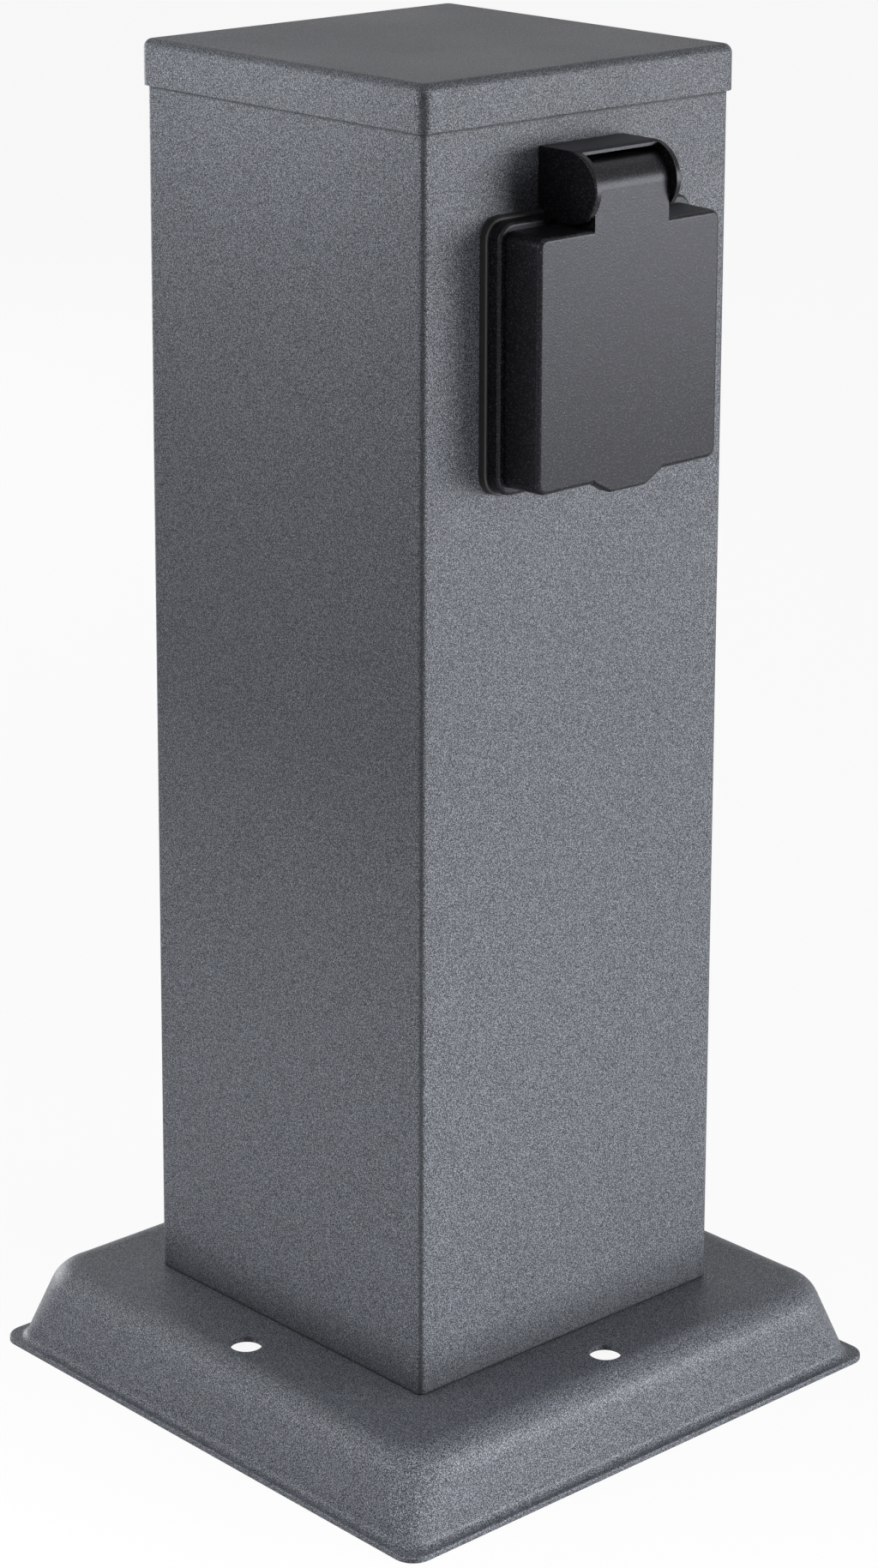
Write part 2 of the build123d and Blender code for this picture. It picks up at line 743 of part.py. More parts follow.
# Two screws that draw the insert's shoulder up against the flange
with BuildPart() as insert_screws:
    with BuildSketch(front.offset(shoulder_rear)):
        with GridLocations(insert_screw_spacing, 0, 2, 1):
            Circle(insert_screw_head_diameter / 2)
    extrude(amount=-insert_screw_head_height)
    fillet(insert_screws.edges().group_by(Axis.Y)[-1], insert_screw_head_round)
    with BuildSketch(front.offset(shoulder_rear)):
        with GridLocations(insert_screw_spacing, 0, 2, 1):
            Circle(insert_screw_diameter / 2)
    extrude(amount=shoulder_thickness + insert_screw_bite)
    with BuildSketch(front.offset(shoulder_rear - insert_screw_head_height)):
        with GridLocations(insert_screw_spacing, 0, 2, 1):
            Rectangle(insert_screw_head_diameter, small_screw_slot)
    extrude(amount=small_screw_slot_depth, mode=Mode.SUBTRACT)
save(insert_screws, "insert_screws")

# Earth strap: one bent strip with a sprung finger at each end, and the clamp for its lead
strap_back = floor_rear - strap_thickness / 2
clamp_half = clamp_width / 2
with BuildPart() as earth_strap:
    with BuildSketch(side):
        with BuildLine():
            FilletPolyline(
                (finger_front, strap_arm - finger_return),
                (finger_contact, strap_arm - finger_bulge),
                (-finger_root, strap_arm),
                (strap_back, strap_arm),
                (strap_back, -strap_arm),
                (-finger_root, -strap_arm),
                (finger_contact, -strap_arm + finger_bulge),
                (finger_front, -strap_arm + finger_return),
                radius=strap_bend,
            )
        trace(line_width=strap_thickness)
    extrude(amount=strap_width / 2, both=True)
    with BuildSketch(side):
        with Locations((strap_back, -earth_clamp_drop + clamp_half)):
            Rectangle(
                clamp_front + strap_back + strap_thickness,
                strap_thickness,
                align=(Align.MAX, Align.MAX),
            )
    extrude(amount=clamp_half, both=True)
    with BuildSketch(front.offset(-clamp_front)):
        with Locations((0, -earth_clamp_drop)):
            Rectangle(clamp_width, clamp_width)
            Circle(clamp_bore_diameter / 2, mode=Mode.SUBTRACT)
    extrude(amount=-clamp_length)
    with BuildSketch(Plane.XY.offset(socket_height - earth_clamp_drop - clamp_half)):
        with Locations((0, -half_column + clamp_axis)):
            Circle(clamp_screw_diameter / 2 + close_clearance)
    extrude(amount=clamp_half, mode=Mode.SUBTRACT)
save(earth_strap, "earth_strap")

# Live and neutral contacts: a slit sleeve for the plug's pin, with a box clamp beside it
for pole, contact_name in ((-1, "live_contact"), (1, "neutral_contact")):
    with BuildPart() as contact:
        with BuildSketch(front.offset(floor_rear - sleeve_setback)):
            with Locations((pole * pin_hole_spacing / 2, 0)):
                Circle(sleeve_outer_diameter / 2)
                Circle(sleeve_inner_diameter / 2, mode=Mode.SUBTRACT)
        extrude(amount=-sleeve_length)
        with BuildSketch(front.offset(floor_rear - sleeve_setback)):
            with Locations((pole * pin_hole_spacing / 2, 0)):
                Rectangle(sleeve_slit, sleeve_outer_diameter)
        extrude(amount=-sleeve_slit_length, mode=Mode.SUBTRACT)
        with BuildSketch(front.offset(-clamp_front)):
            with Locations((pole * clamp_place, 0)):
                Rectangle(clamp_width, clamp_height)
                Circle(clamp_bore_diameter / 2, mode=Mode.SUBTRACT)
        extrude(amount=-clamp_length)
        with BuildSketch(side.offset(-pole * (clamp_place + clamp_half))):
            with Locations((-clamp_axis, 0)):
                Circle(clamp_screw_diameter / 2 + close_clearance)
        extrude(amount=pole * clamp_half, mode=Mode.SUBTRACT)
    save(contact, contact_name)

# One screw in each of the three clamps, its tip just clear of the lead
clamp_y = -half_column + clamp_axis
clamp_seats = [
    Plane(origin=(-clamp_place - clamp_half, clamp_y, socket_height), z_dir=(-1, 0, 0)),
    Plane(origin=(clamp_place + clamp_half, clamp_y, socket_height), z_dir=(1, 0, 0)),
    Plane(origin=(0, clamp_y, socket_height - earth_clamp_drop - clamp_half), z_dir=(0, 0, -1)),
]
with BuildPart() as clamp_screws:
    with BuildSketch(*clamp_seats):
        Circle(clamp_screw_head_diameter / 2)
    extrude(amount=clamp_screw_head_height)
    with BuildSketch(*clamp_seats):
        Circle(clamp_screw_diameter / 2)
    extrude(amount=-clamp_half + lead_diameter / 2 + clamp_screw_gap)
    with BuildSketch(*[seat.offset(clamp_screw_head_height) for seat in clamp_seats]):
        Rectangle(clamp_screw_head_diameter, small_screw_slot)
    extrude(amount=-small_screw_slot_depth, mode=Mode.SUBTRACT)
save(clamp_screws, "clamp_screws")

# Rear cover of the chambers, with a pad in each and a wire hole behind each clamp
with BuildPart() as contact_cover:
    with BuildSketch(front.offset(-tower_rear)):
        RectangleRounded(tower_width, tower_height, tower_corner)
    extrude(amount=-cover_thickness)
    fillet(contact_cover.edges().group_by(Axis.Y)[-1], cover_edge_round)
    with BuildSketch(front.offset(-tower_rear)):
        with GridLocations(2 * chamber_place, 0, 2, 1):
            Rectangle(chamber_width - 2 * slide_clearance, chamber_height - 2 * slide_clearance)
    extrude(amount=cover_pad)
    with BuildSketch(front.offset(-tower_rear + cover_pad)):
        with GridLocations(2 * clamp_place, 0, 2, 1):
            Circle(cover_wire_hole / 2)
        with GridLocations(0, cover_screw_spacing, 1, 2):
            Circle(cover_screw_diameter / 2 + screw_clearance)
    extrude(amount=-cover_pad - cover_thickness, mode=Mode.SUBTRACT)
save(contact_cover, "contact_cover")

with BuildPart() as cover_screws:
    with BuildSketch(front.offset(-tower_rear - cover_thickness)):
        with GridLocations(0, cover_screw_spacing, 1, 2):
            Circle(cover_screw_head_diameter / 2)
    extrude(amount=-cover_screw_head_height)
    fillet(cover_screws.edges().group_by(Axis.Y)[-1], insert_screw_head_round)
    with BuildSketch(front.offset(-tower_rear - cover_thickness)):
        with GridLocations(0, cover_screw_spacing, 1, 2):
            Circle(cover_screw_diameter / 2)
    extrude(amount=cover_thickness + cover_screw_bite)
    with BuildSketch(front.offset(-tower_rear - cover_thickness - cover_screw_head_height)):
        with GridLocations(0, cover_screw_spacing, 1, 2):
            Rectangle(cover_screw_head_diameter, small_screw_slot)
    extrude(amount=small_screw_slot_depth, mode=Mode.SUBTRACT)
save(cover_screws, "cover_screws")

# Bracket: a folded angle under the rear column nut, which carries the terminal block
bracket_rear = half_column - column_sheet - moving_clearance
bracket_face = bracket_rear - bracket_sheet
bracket_top = tab_top + bracket_height
block_middle = tab_top + block_rise
stud_height = tab_top + stud_rise
face = Plane(origin=(0, bracket_face, block_middle), x_dir=(1, 0, 0), z_dir=(0, -1, 0))
stud_seat = Plane(origin=(-stud_offset, bracket_face, stud_height), x_dir=(1, 0, 0), z_dir=(0, -1, 0))
with BuildPart() as block_bracket:
    with BuildSketch(Plane.YZ):
        with BuildLine():
            Polyline(
                (bracket_rear, tab_top),
                (bracket_rear, bracket_top),
                (bracket_face, bracket_top),
                (bracket_face, tab_top + bracket_sheet),
                (bracket_rear - bracket_foot, tab_top + bracket_sheet),
                (bracket_rear - bracket_foot, tab_top),
                close=True,
            )
        make_face()
    extrude(amount=bracket_width / 2, both=True)
    folds = block_bracket.edges().filter_by(Axis.X).group_by(Axis.Z)
    fillet(folds[0].sort_by(Axis.Y)[-1], bracket_bend + bracket_sheet)
    fillet(folds[1].sort_by(Axis.Y)[-1], bracket_bend)
    fillet(block_bracket.edges().filter_by(Axis.Y).group_by(Axis.Z)[-1], bracket_corner)
    fillet(block_bracket.edges().filter_by(Axis.Z).group_by(Axis.Y)[0], bracket_corner)
    with BuildSketch(Plane.XY.offset(tab_top)):
        with Locations((0, column_screw_ring)):
            Circle(column_screw_diameter / 2 + screw_clearance)
    extrude(amount=bracket_sheet, mode=Mode.SUBTRACT)
    with BuildSketch(face):
        with GridLocations(block_pitch, 0, 2, 1):
            Circle(mount_screw_diameter / 2 + close_clearance)
    extrude(amount=-bracket_sheet, mode=Mode.SUBTRACT)
    with BuildSketch(stud_seat):
        Circle(stud_diameter / 2 + close_clearance)
    extrude(amount=-bracket_sheet, mode=Mode.SUBTRACT)
    with BuildSketch(stud_seat.offset(-bracket_sheet)):
        Circle(stud_head_diameter / 2 + close_clearance)
    extrude(amount=stud_head_thickness, mode=Mode.SUBTRACT)
save(block_bracket, "block_bracket")

# Terminal block: three poles, each a through bore with two screw towers over it
tube_depth = block_tube_setback
screw_way = block_screw_head_diameter / 2 + slide_clearance
with BuildPart() as terminal_block:
    with BuildSketch(face):
        Rectangle(block_width, block_height)
    extrude(amount=block_depth)
    fillet(terminal_block.edges().filter_by(Axis.Y), block_edge_round)
    fillet(terminal_block.edges().group_by(Axis.Y)[0], block_edge_round)
    with BuildSketch(face.offset(block_depth)):
        with GridLocations(block_pitch, block_screw_spacing, 3, 2):
            Circle(block_tower_diameter / 2)
    extrude(amount=block_tower_height)
    with BuildSketch(Plane.XY.offset(block_middle)):
        with Locations((0, bracket_face - tube_depth)):
            with GridLocations(block_pitch, 0, 3, 1):
                Circle(block_tube_diameter / 2 + close_clearance)
    extrude(amount=block_height, both=True, mode=Mode.SUBTRACT)
    with BuildSketch(face.offset(tube_depth)):
        with GridLocations(block_pitch, block_screw_spacing, 3, 2):
            Circle(screw_way)
    extrude(amount=block_depth, mode=Mode.SUBTRACT)
    with BuildSketch(face):
        with GridLocations(block_pitch, 0, 2, 1):
            Circle(mount_screw_diameter / 2 + screw_clearance)
    extrude(amount=block_depth, mode=Mode.SUBTRACT)
save(terminal_block, "terminal_block")

with BuildPart() as block_tubes:
    with BuildSketch(Plane.XY.offset(block_middle)):
        with Locations((0, bracket_face - tube_depth)):
            with GridLocations(block_pitch, 0, 3, 1):
                Circle(block_tube_diameter / 2)
                Circle(block_tube_bore / 2, mode=Mode.SUBTRACT)
    extrude(amount=block_tube_length / 2, both=True)
    with BuildSketch(face.offset(tube_depth)):
        with GridLocations(block_pitch, block_screw_spacing, 3, 2):
            Circle(block_screw_diameter / 2 + close_clearance)
    extrude(amount=block_tube_diameter, mode=Mode.SUBTRACT)
save(block_tubes, "block_tubes")

# Screws of the block: the head sunk in its tower, the tip just clear of the lead
tower_front = block_depth + block_tower_height
block_screw_seat = tower_front - block_screw_sink - block_screw_head_height
with BuildPart() as block_screws:
    with BuildSketch(face.offset(block_screw_seat)):
        with GridLocations(block_pitch, block_screw_spacing, 3, 2):
            Circle(block_screw_head_diameter / 2)
    extrude(amount=block_screw_head_height)
    with BuildSketch(face.offset(tube_depth + lead_diameter / 2 + clamp_screw_gap)):
        with GridLocations(block_pitch, block_screw_spacing, 3, 2):
            Circle(block_screw_diameter / 2)
    extrude(amount=block_screw_seat - tube_depth - lead_diameter / 2 - clamp_screw_gap)
    with BuildSketch(face.offset(block_screw_seat + block_screw_head_height)):
        with GridLocations(block_pitch, block_screw_spacing, 3, 2):
            Rectangle(block_screw_head_diameter, small_screw_slot)
    extrude(amount=-small_screw_slot_depth, mode=Mode.SUBTRACT)
save(block_screws, "block_screws")

with BuildPart() as block_mount_screws:
    with BuildSketch(face.offset(block_depth)):
        with GridLocations(block_pitch, 0, 2, 1):
            Circle(mount_screw_head_diameter / 2)
    extrude(amount=mount_screw_head_height)
    fillet(block_mount_screws.edges().group_by(Axis.Y)[0], insert_screw_head_round)
    with BuildSketch(face.offset(block_depth)):
        with GridLocations(block_pitch, 0, 2, 1):
            Circle(mount_screw_diameter / 2)
    extrude(amount=-block_depth - bracket_sheet)
    with BuildSketch(face.offset(block_depth + mount_screw_head_height)):
        with GridLocations(block_pitch, 0, 2, 1):
            Rectangle(mount_screw_head_diameter, small_screw_slot)
    extrude(amount=-small_screw_slot_depth, mode=Mode.SUBTRACT)
save(block_mount_screws, "block_mount_screws")

# Earth stud pressed into the bracket, its flanged nut, and the ring lug between them
with BuildPart() as earth_stud:
    with BuildSketch(stud_seat.offset(-bracket_sheet)):
        Circle(stud_head_diameter / 2)
    extrude(amount=stud_head_thickness)
    with BuildSketch(stud_seat.offset(-bracket_sheet)):
        Circle(stud_diameter / 2)
    extrude(amount=bracket_sheet + stud_length)
    chamfer(earth_stud.edges().group_by(Axis.Y)[0], stud_end_chamfer)
save(earth_stud, "earth_stud")

with BuildPart() as earth_nut:
    with BuildSketch(stud_seat.offset(lug_sheet)):
        Circle(earth_nut_flange_diameter / 2)
    extrude(amount=earth_nut_flange_thickness)
    with BuildSketch(stud_seat.offset(lug_sheet)):
        RegularPolygon(earth_nut_across / 2, 6, major_radius=False)
    extrude(amount=earth_nut_height)
    with BuildSketch(stud_seat.offset(lug_sheet)):
        Circle(stud_diameter / 2 + close_clearance)
    extrude(amount=earth_nut_height, mode=Mode.SUBTRACT)
save(earth_nut, "earth_nut")

lug_barrel_bore = lead_diameter / 2 + close_clearance
lug_barrel_radius = lug_barrel_bore + lug_barrel_wall
lug_neck_depth = tube_depth - lug_barrel_radius + lug_sheet / 2
barrel_start = -stud_offset + lug_neck_length
lug_side = Plane(origin=(0, bracket_face, stud_height), x_dir=(1, 0, 0), z_dir=(0, 0, -1))
with BuildPart() as ring_lug:
    with BuildSketch(stud_seat):
        Circle(lug_ring_diameter / 2)
    extrude(amount=lug_sheet)
    with BuildSketch(lug_side):
        with BuildLine():
            FilletPolyline(
                (-stud_offset, lug_sheet / 2),
                (-stud_offset + earth_nut_flange_diameter / 2 + lug_bend, lug_sheet / 2),
                (barrel_start, lug_neck_depth),
                (barrel_start + lug_barrel_length, lug_neck_depth),
                radius=lug_bend,
            )
        trace(line_width=lug_sheet)
    extrude(amount=lug_neck_width / 2, both=True)
    with BuildSketch(Plane.YZ.offset(barrel_start)):
        with Locations((bracket_face - tube_depth, stud_height)):
            Circle(lug_barrel_radius)
    extrude(amount=lug_barrel_length)
    with BuildSketch(Plane.YZ.offset(barrel_start)):
        with Locations((bracket_face - tube_depth, stud_height)):
            Circle(lug_barrel_bore)
    extrude(amount=lug_barrel_length, mode=Mode.SUBTRACT)
    with BuildSketch(stud_seat):
        Circle(stud_diameter / 2 + slide_clearance)
    extrude(amount=lug_neck_depth + lug_sheet, mode=Mode.SUBTRACT)
save(ring_lug, "ring_lug")

# Leads from the block up to the socket's clamps, as shares of the rise, reach and side step
lead_route_shares = [
    (0, 0, 0),
    (0.22, 0, 0),
    (0.45, 0.05, 0.5),
    (0.68, 0.16, 1.35),
    (0.88, 0.36, 1.2),
    (1, 0.68, 1),
    (1, 1, 1),
]
bend_share = 0.45


def widest_radii(points):
    """The largest radius that the two runs beside each inner point leave room for."""
    radii = []
    for before, here, after in zip(points, points[1:], points[2:]):
        half_turn = radians((here - before).get_angle(after - here)) / 2
        shorter = min((here - before).length, (after - here).length)
        radii.append(bend_share * shorter / tan(half_turn))
    return radii


lead_base = Vector(0, bracket_face - tube_depth, block_middle + block_tube_length / 2 - lead_grip)
lead_end_y = -half_column + clamp_front + clamp_length - lead_clamp_depth
lead_plan = [
    ("live_lead", -block_pitch, -clamp_place, socket_height),
    ("earth_lead", 0, 0, socket_height - earth_clamp_drop),
    ("neutral_lead", block_pitch, clamp_place, socket_height),
]
for lead_name, start_x, end_x, end_z in lead_plan:
    route = [
        lead_base
        + Vector(
            start_x + side_share * (end_x - start_x),
            reach_share * (lead_end_y - lead_base.Y),
            rise_share * (end_z - lead_base.Z),
        )
        for rise_share, reach_share, side_share in lead_route_shares
    ]
    bends = widest_radii(route)
    print(lead_name, "radii", [round(bend, 1) for bend in bends])
    with BuildPart() as lead:
        with BuildLine() as lead_line:
            FilletPolyline(*route, radius=bends)
        with BuildSketch(Plane(origin=lead_line.line @ 0, z_dir=lead_line.line % 0)):
            Circle(lead_diameter / 2)
        sweep(path=lead_line.line)
    save(lead, lead_name)

# Bonding lead from the ring lug up into the block's middle pole
bond_y = bracket_face - tube_depth
bond_start = barrel_start + clamp_screw_gap
bond_top = block_middle - block_tube_length / 2 + lead_grip
with BuildPart() as bond_lead:
    with BuildLine() as bond_line:
        FilletPolyline(
            (bond_start, bond_y, stud_height),
            (0, bond_y, stud_height),
            (0, bond_y, bond_top),
            radius=bond_lead_radius,
        )
    with BuildSketch(Plane(origin=bond_line.line @ 0, z_dir=bond_line.line % 0)):
        Circle(lead_diameter / 2)
    sweep(path=bond_line.line)
save(bond_lead, "bond_lead")
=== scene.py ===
"""Looks of a garden socket post: the finish of every part, the hinge spring and a plain studio."""

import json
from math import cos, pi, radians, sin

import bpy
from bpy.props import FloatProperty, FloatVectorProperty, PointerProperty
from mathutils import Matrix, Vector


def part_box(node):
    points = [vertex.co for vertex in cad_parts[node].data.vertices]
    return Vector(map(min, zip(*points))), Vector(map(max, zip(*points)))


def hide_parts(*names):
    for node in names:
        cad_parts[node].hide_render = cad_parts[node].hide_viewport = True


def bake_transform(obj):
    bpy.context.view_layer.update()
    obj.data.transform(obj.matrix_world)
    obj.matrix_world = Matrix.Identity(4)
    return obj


bl_info = {
    "name": "Garden Socket Post Looks",
    "version": (1, 0, 0),
    "blender": (4, 5, 0),
    "location": "View3D > Sidebar > Socket Post",
    "description": "Finishes the parts of a garden socket post and sets them in a plain studio",
    "category": "Object",
}

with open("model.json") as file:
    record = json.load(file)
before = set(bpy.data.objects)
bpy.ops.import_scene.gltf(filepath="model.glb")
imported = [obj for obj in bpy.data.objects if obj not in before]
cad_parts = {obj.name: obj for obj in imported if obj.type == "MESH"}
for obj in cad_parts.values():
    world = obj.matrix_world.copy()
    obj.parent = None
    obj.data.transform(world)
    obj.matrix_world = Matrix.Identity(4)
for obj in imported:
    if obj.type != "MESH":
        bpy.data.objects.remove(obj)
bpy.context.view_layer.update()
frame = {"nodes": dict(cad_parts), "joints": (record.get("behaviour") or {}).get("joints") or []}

MM = 0.001

# The photograph's frame in pixels, with the lens and its optical centre fitted to the post's edges
IMAGE_WIDTH = 1024
IMAGE_HEIGHT = 1829
FOCAL_PIXELS = 4677.9
CENTRE_X = 508.4
CENTRE_Y = 460.0
SENSOR_LONG_SIDE = 36.0

HINGE = frame["joints"][0]["pos_m"]

# Soft boxes: name, width and height, watts, place, and the point that each is turned to. The two over
# the floor send their light back up from it, onto the foot and the low half of the column
LAMPS = (
    ("right_box", (0.9, 0.6), 27, (1.0, -1.35, 0.31), (0, 0, 0.25)),
    ("right_low_box", (0.3, 0.12), 0.42, (-0.08, -0.42, 0.08), (-0.08, 0, 0.08)),
    ("front_floor_box", (0.3, 0.3), 1.4, (-0.15, -0.42, 0.2), (-0.15, -0.42, 0)),
    ("left_floor_box", (0.3, 0.3), 1.7, (-0.42, 0.05, 0.2), (-0.42, 0.05, 0)),
    ("left_low_box", (0.3, 0.12), 0.1, (-0.4, 0.05, 0.08), (0, 0.05, 0.08)),
    ("left_high_box", (0.2, 0.05), 0.13, (-0.14, 0.03, 0.38), (0, 0.03, 0.38)),
    ("back_box", (0.8, 0.5), 14, (0, 1.5, 0.27), (0, 0, 0.25)),
)

# Strength of the room's light at the horizon and from OVERHEAD_HEIGHT up, on a sphere of radius 1
HORIZON_LIGHT = 0.06
OVERHEAD_LIGHT = 0.01
OVERHEAD_HEIGHT = 0.5
# Share of the floor that the eye sees as plain white, which leaves the rest to the post's shadow
FLOOR_WHITE = 0.93

# Turn of every pattern about X, Y and Z, so that no flat face lies along a noise's grid
PATTERN_TURN = (0.5, 0.3, 0.7)

# Real sizes of the patterns that the groups below don't hold
MELT_WAVE = 6 * MM
RUBBER_CLOUD = 0.5 * MM
RUBBER_CELL = 0.35 * MM
RUBBER_CELL_DEPTH = 0.04 * MM
DUST_PATCH = 1.2 * MM
ZINC_CLOUD = 1.5 * MM
ZINC_CRYSTAL = 3.5 * MM
DRAWN_LINE = 0.05 * MM
TARNISH_PATCH = 2.5 * MM
TIN_PIT = 0.4 * MM
TIN_PIT_DEPTH = 0.02 * MM
MILKY_CLOUD = 4 * MM
MILKY_DEPTH = 1.5 * MM
PVC_HAZE = 2 * MM
EARTH_STRIPE = 18 * MM

# How much of the coat's colour goes dark under painted shade: on an upright fold, in a joint's line and in
# the band over the foot
FOLD_PAINTED_SHADE = 0.75
SEAM_PAINTED_SHADE = 0.85
GROUND_PAINTED_SHADE = 0.6
# Painted shade: distance from a joint within which its line is at full darkness
JOINT_SHADE_CORE = 0.3 * MM

# The spring's turns, and how finely its wire is drawn
SPRING_TURNS = 5
WIRE_SIDES = 10
STEPS_A_TURN = 20
SMOOTH_ANGLE = radians(40)


def linear(hex_colour):
    """An sRGB hex colour as linear red, green and blue."""
    parts = [int(hex_colour[place:place + 2], 16) / 255 for place in (1, 3, 5)]
    return [part / 12.92 if part <= 0.04045 else ((part + 0.055) / 1.055) ** 2.4 for part in parts]


def add_node(tree, kind, values=(), links=(), **settings):
    """Adds a node with its settings, its socket values, and links from other nodes' outputs."""
    node = tree.nodes.new(kind)
    for name, value in settings.items():
        setattr(node, name, value)
    for socket, value in dict(values).items():
        node.inputs[socket].default_value = value
    for socket, source in dict(links).items():
        tree.links.new(source, node.inputs[socket])
    return node


def start_material(name):
    """An empty node material, its node tree, and Object coordinates by PATTERN_TURN."""
    material = bpy.data.materials.new(name)
    material.use_nodes = True
    tree = material.node_tree
    tree.nodes.clear()
    coordinates = add_node(tree, "ShaderNodeTexCoord").outputs["Object"]
    turned = add_node(
        tree, "ShaderNodeMapping", links={"Vector": coordinates}, values={"Rotation": PATTERN_TURN},
    )
    return material, tree, turned.outputs["Vector"]


def end_material(tree, shader):
    """Links the shader to the material's surface."""
    add_node(tree, "ShaderNodeOutputMaterial", links={"Surface": shader.outputs[0]})


def mottle(tree, place, size, dark, light, detail=2, low=0.3, high=0.7):
    """A cloudy pattern of a real size: its height, and its colour from dark at low to light at high."""
    height = add_node(
        tree, "ShaderNodeTexNoise", links={"Vector": place}, values={"Scale": 1 / size, "Detail": detail},
    ).outputs["Fac"]
    spread = add_node(
        tree, "ShaderNodeMapRange", links={"Value": height}, values={"From Min": low, "From Max": high},
    ).outputs["Result"]
    tone = add_node(
        tree, "ShaderNodeMix", data_type="RGBA", values={6: (*dark, 1), 7: (*light, 1)}, links={0: spread},
    ).outputs[2]
    return height, tone


def shade(colour, amount):
    """A linear colour made lighter or darker by a factor."""
    return [channel * amount for channel in colour]


def anthracite_powder_coat(post, name, painted_joint_shades=()):
    """Polyester powder coat with metallic flake, sprayed and baked: a fine pebbled skin, with painted shade
    down its upright folds and along any level joints given.
    """
    # The pebbles spread the light into a satin, and the flake gives it fine bright and dark specks,
    # which are drawn coarser than the real flake so that they show
    material, tree, place = start_material(name)
    coat = post.coat_colour
    _, tone = mottle(
        tree, place, post.flake_size, shade(coat, 0.2), shade(coat, 3.7), detail=1, low=0.42, high=0.8,
    )
    # Painted shade down the tight upright folds, in place of the dark reflection on the bend: a darker line
    # where a face turns from X to Y, none on sloped faces
    facing = add_node(tree, "ShaderNodeNewGeometry").outputs["Normal"]
    sides = add_node(tree, "ShaderNodeSeparateXYZ", links={"Vector": facing})
    corner = add_node(
        tree, "ShaderNodeMath", operation="MULTIPLY", links={0: sides.outputs["X"], 1: sides.outputs["Y"]},
    )
    fold = add_node(tree, "ShaderNodeMath", operation="ABSOLUTE", links={0: corner.outputs[0]})
    slope = add_node(
        tree, "ShaderNodeMath", operation="MULTIPLY", links={0: sides.outputs["Z"], 1: sides.outputs["Z"]},
    )
    upright_fold = add_node(
        tree, "ShaderNodeMath", operation="SUBTRACT", links={0: fold.outputs[0], 1: slope.outputs[0]},
    )
    painted_fold_shade = add_node(
        tree, "ShaderNodeMapRange", links={"Value": upright_fold.outputs[0]},
        values={"From Min": 0.3, "From Max": 0.5, "To Max": FOLD_PAINTED_SHADE},
    ).outputs["Result"]
    tone = add_node(
        tree, "ShaderNodeMix", data_type="RGBA",
        values={7: (*shade(coat, 0.15), 1)}, links={0: painted_fold_shade, 6: tone},
    ).outputs[2]
    # Painted shade along each level joint given: a thin dark line at the joint, or a soft dark band up from
    # it, as over the foot, which keeps light off the column's low part
    upright = add_node(tree, "ShaderNodeTexCoord").outputs["Object"]
    height = add_node(tree, "ShaderNodeSeparateXYZ", links={"Vector": upright}).outputs["Z"]
    for level, reach, painted_shade in painted_joint_shades:
        above = add_node(tree, "ShaderNodeMath", operation="SUBTRACT", values={1: level}, links={0: height})
        away = add_node(tree, "ShaderNodeMath", operation="ABSOLUTE", links={0: above.outputs[0]})
        line = add_node(
            tree, "ShaderNodeMapRange", links={"Value": away.outputs[0]},
            values={"From Min": JOINT_SHADE_CORE, "From Max": reach, "To Min": painted_shade, "To Max": 0},
        ).outputs["Result"]
        tone = add_node(
            tree, "ShaderNodeMix", data_type="RGBA",
            values={7: (*shade(coat, 0.05), 1)}, links={0: line, 6: tone},
        ).outputs[2]
    pebbles = add_node(
        tree, "ShaderNodeTexNoise", links={"Vector": place},
        values={"Scale": 1 / post.pebble_size, "Detail": 1, "Roughness": 0.5},
    ).outputs["Fac"]
    drift = add_node(
        tree, "ShaderNodeTexNoise", links={"Vector": place}, values={"Scale": 1 / post.drift_size},
    ).outputs["Fac"]
    satin = add_node(
        tree, "ShaderNodeMapRange", links={"Value": drift},
        values={"From Min": 0.3, "From Max": 0.7, "To Min": 0.5, "To Max": 0.56},
    )
    bump = add_node(
        tree, "ShaderNodeBump", links={"Height": pebbles},
        values={"Strength": 0.7, "Distance": post.pebble_depth},
    )
    shader = add_node(
        tree, "ShaderNodeBsdfPrincipled",
        values={"Metallic": 0.1, "IOR": 1.5, "Specular IOR Level": 0.25},
        links={
            "Base Color": tone,
            "Roughness": satin.outputs["Result"],
            "Normal": bump.outputs["Normal"],
        },
    )
    end_material(tree, shader)
    return material


def black_moulded_nylon(socket):
    """Glass-filled nylon, injection moulded in a spark-eroded tool: deep black with a fine matte grain."""
    # The eroded grain catches a broad sheen, and the ends of the glass fibres show as pale specks. Both
    # are drawn coarser than real, so that they show
    material, tree, place = start_material("black_moulded_nylon")
    nylon = socket.nylon_colour
    grain, tone = mottle(
        tree, place, socket.grain_size, shade(nylon, 0.2), shade(nylon, 12), detail=1, low=0.52, high=0.8,
    )
    bump = add_node(
        tree, "ShaderNodeBump", links={"Height": grain},
        values={"Strength": 0.7, "Distance": socket.grain_depth},
    )
    shader = add_node(
        tree, "ShaderNodeBsdfPrincipled",
        values={
            "Roughness": 0.35, "IOR": 1.53, "Specular IOR Level": 0.2,
            "Specular Tint": (*linear("#eff2ff"), 1),
        },
        links={"Base Color": tone, "Normal": bump.outputs["Normal"]},
    )
    end_material(tree, shader)
    return material


def smooth_moulded_nylon(socket):
    """The same nylon from a polished tool, as the well and the tower behind it are: a soft gloss."""
    # Slow waves in the gloss show where the melt has flowed
    material, tree, place = start_material("smooth_moulded_nylon")
    nylon = socket.nylon_colour
    flow, tone = mottle(tree, place, MELT_WAVE, shade(nylon, 0.9), shade(nylon, 1.15))
    gloss = add_node(
        tree, "ShaderNodeMapRange", links={"Value": flow}, values={"To Min": 0.28, "To Max": 0.42},
    )
    shader = add_node(
        tree, "ShaderNodeBsdfPrincipled",
        values={"IOR": 1.53},
        links={"Base Color": tone, "Roughness": gloss.outputs["Result"]},
    )
    end_material(tree, shader)
    return material


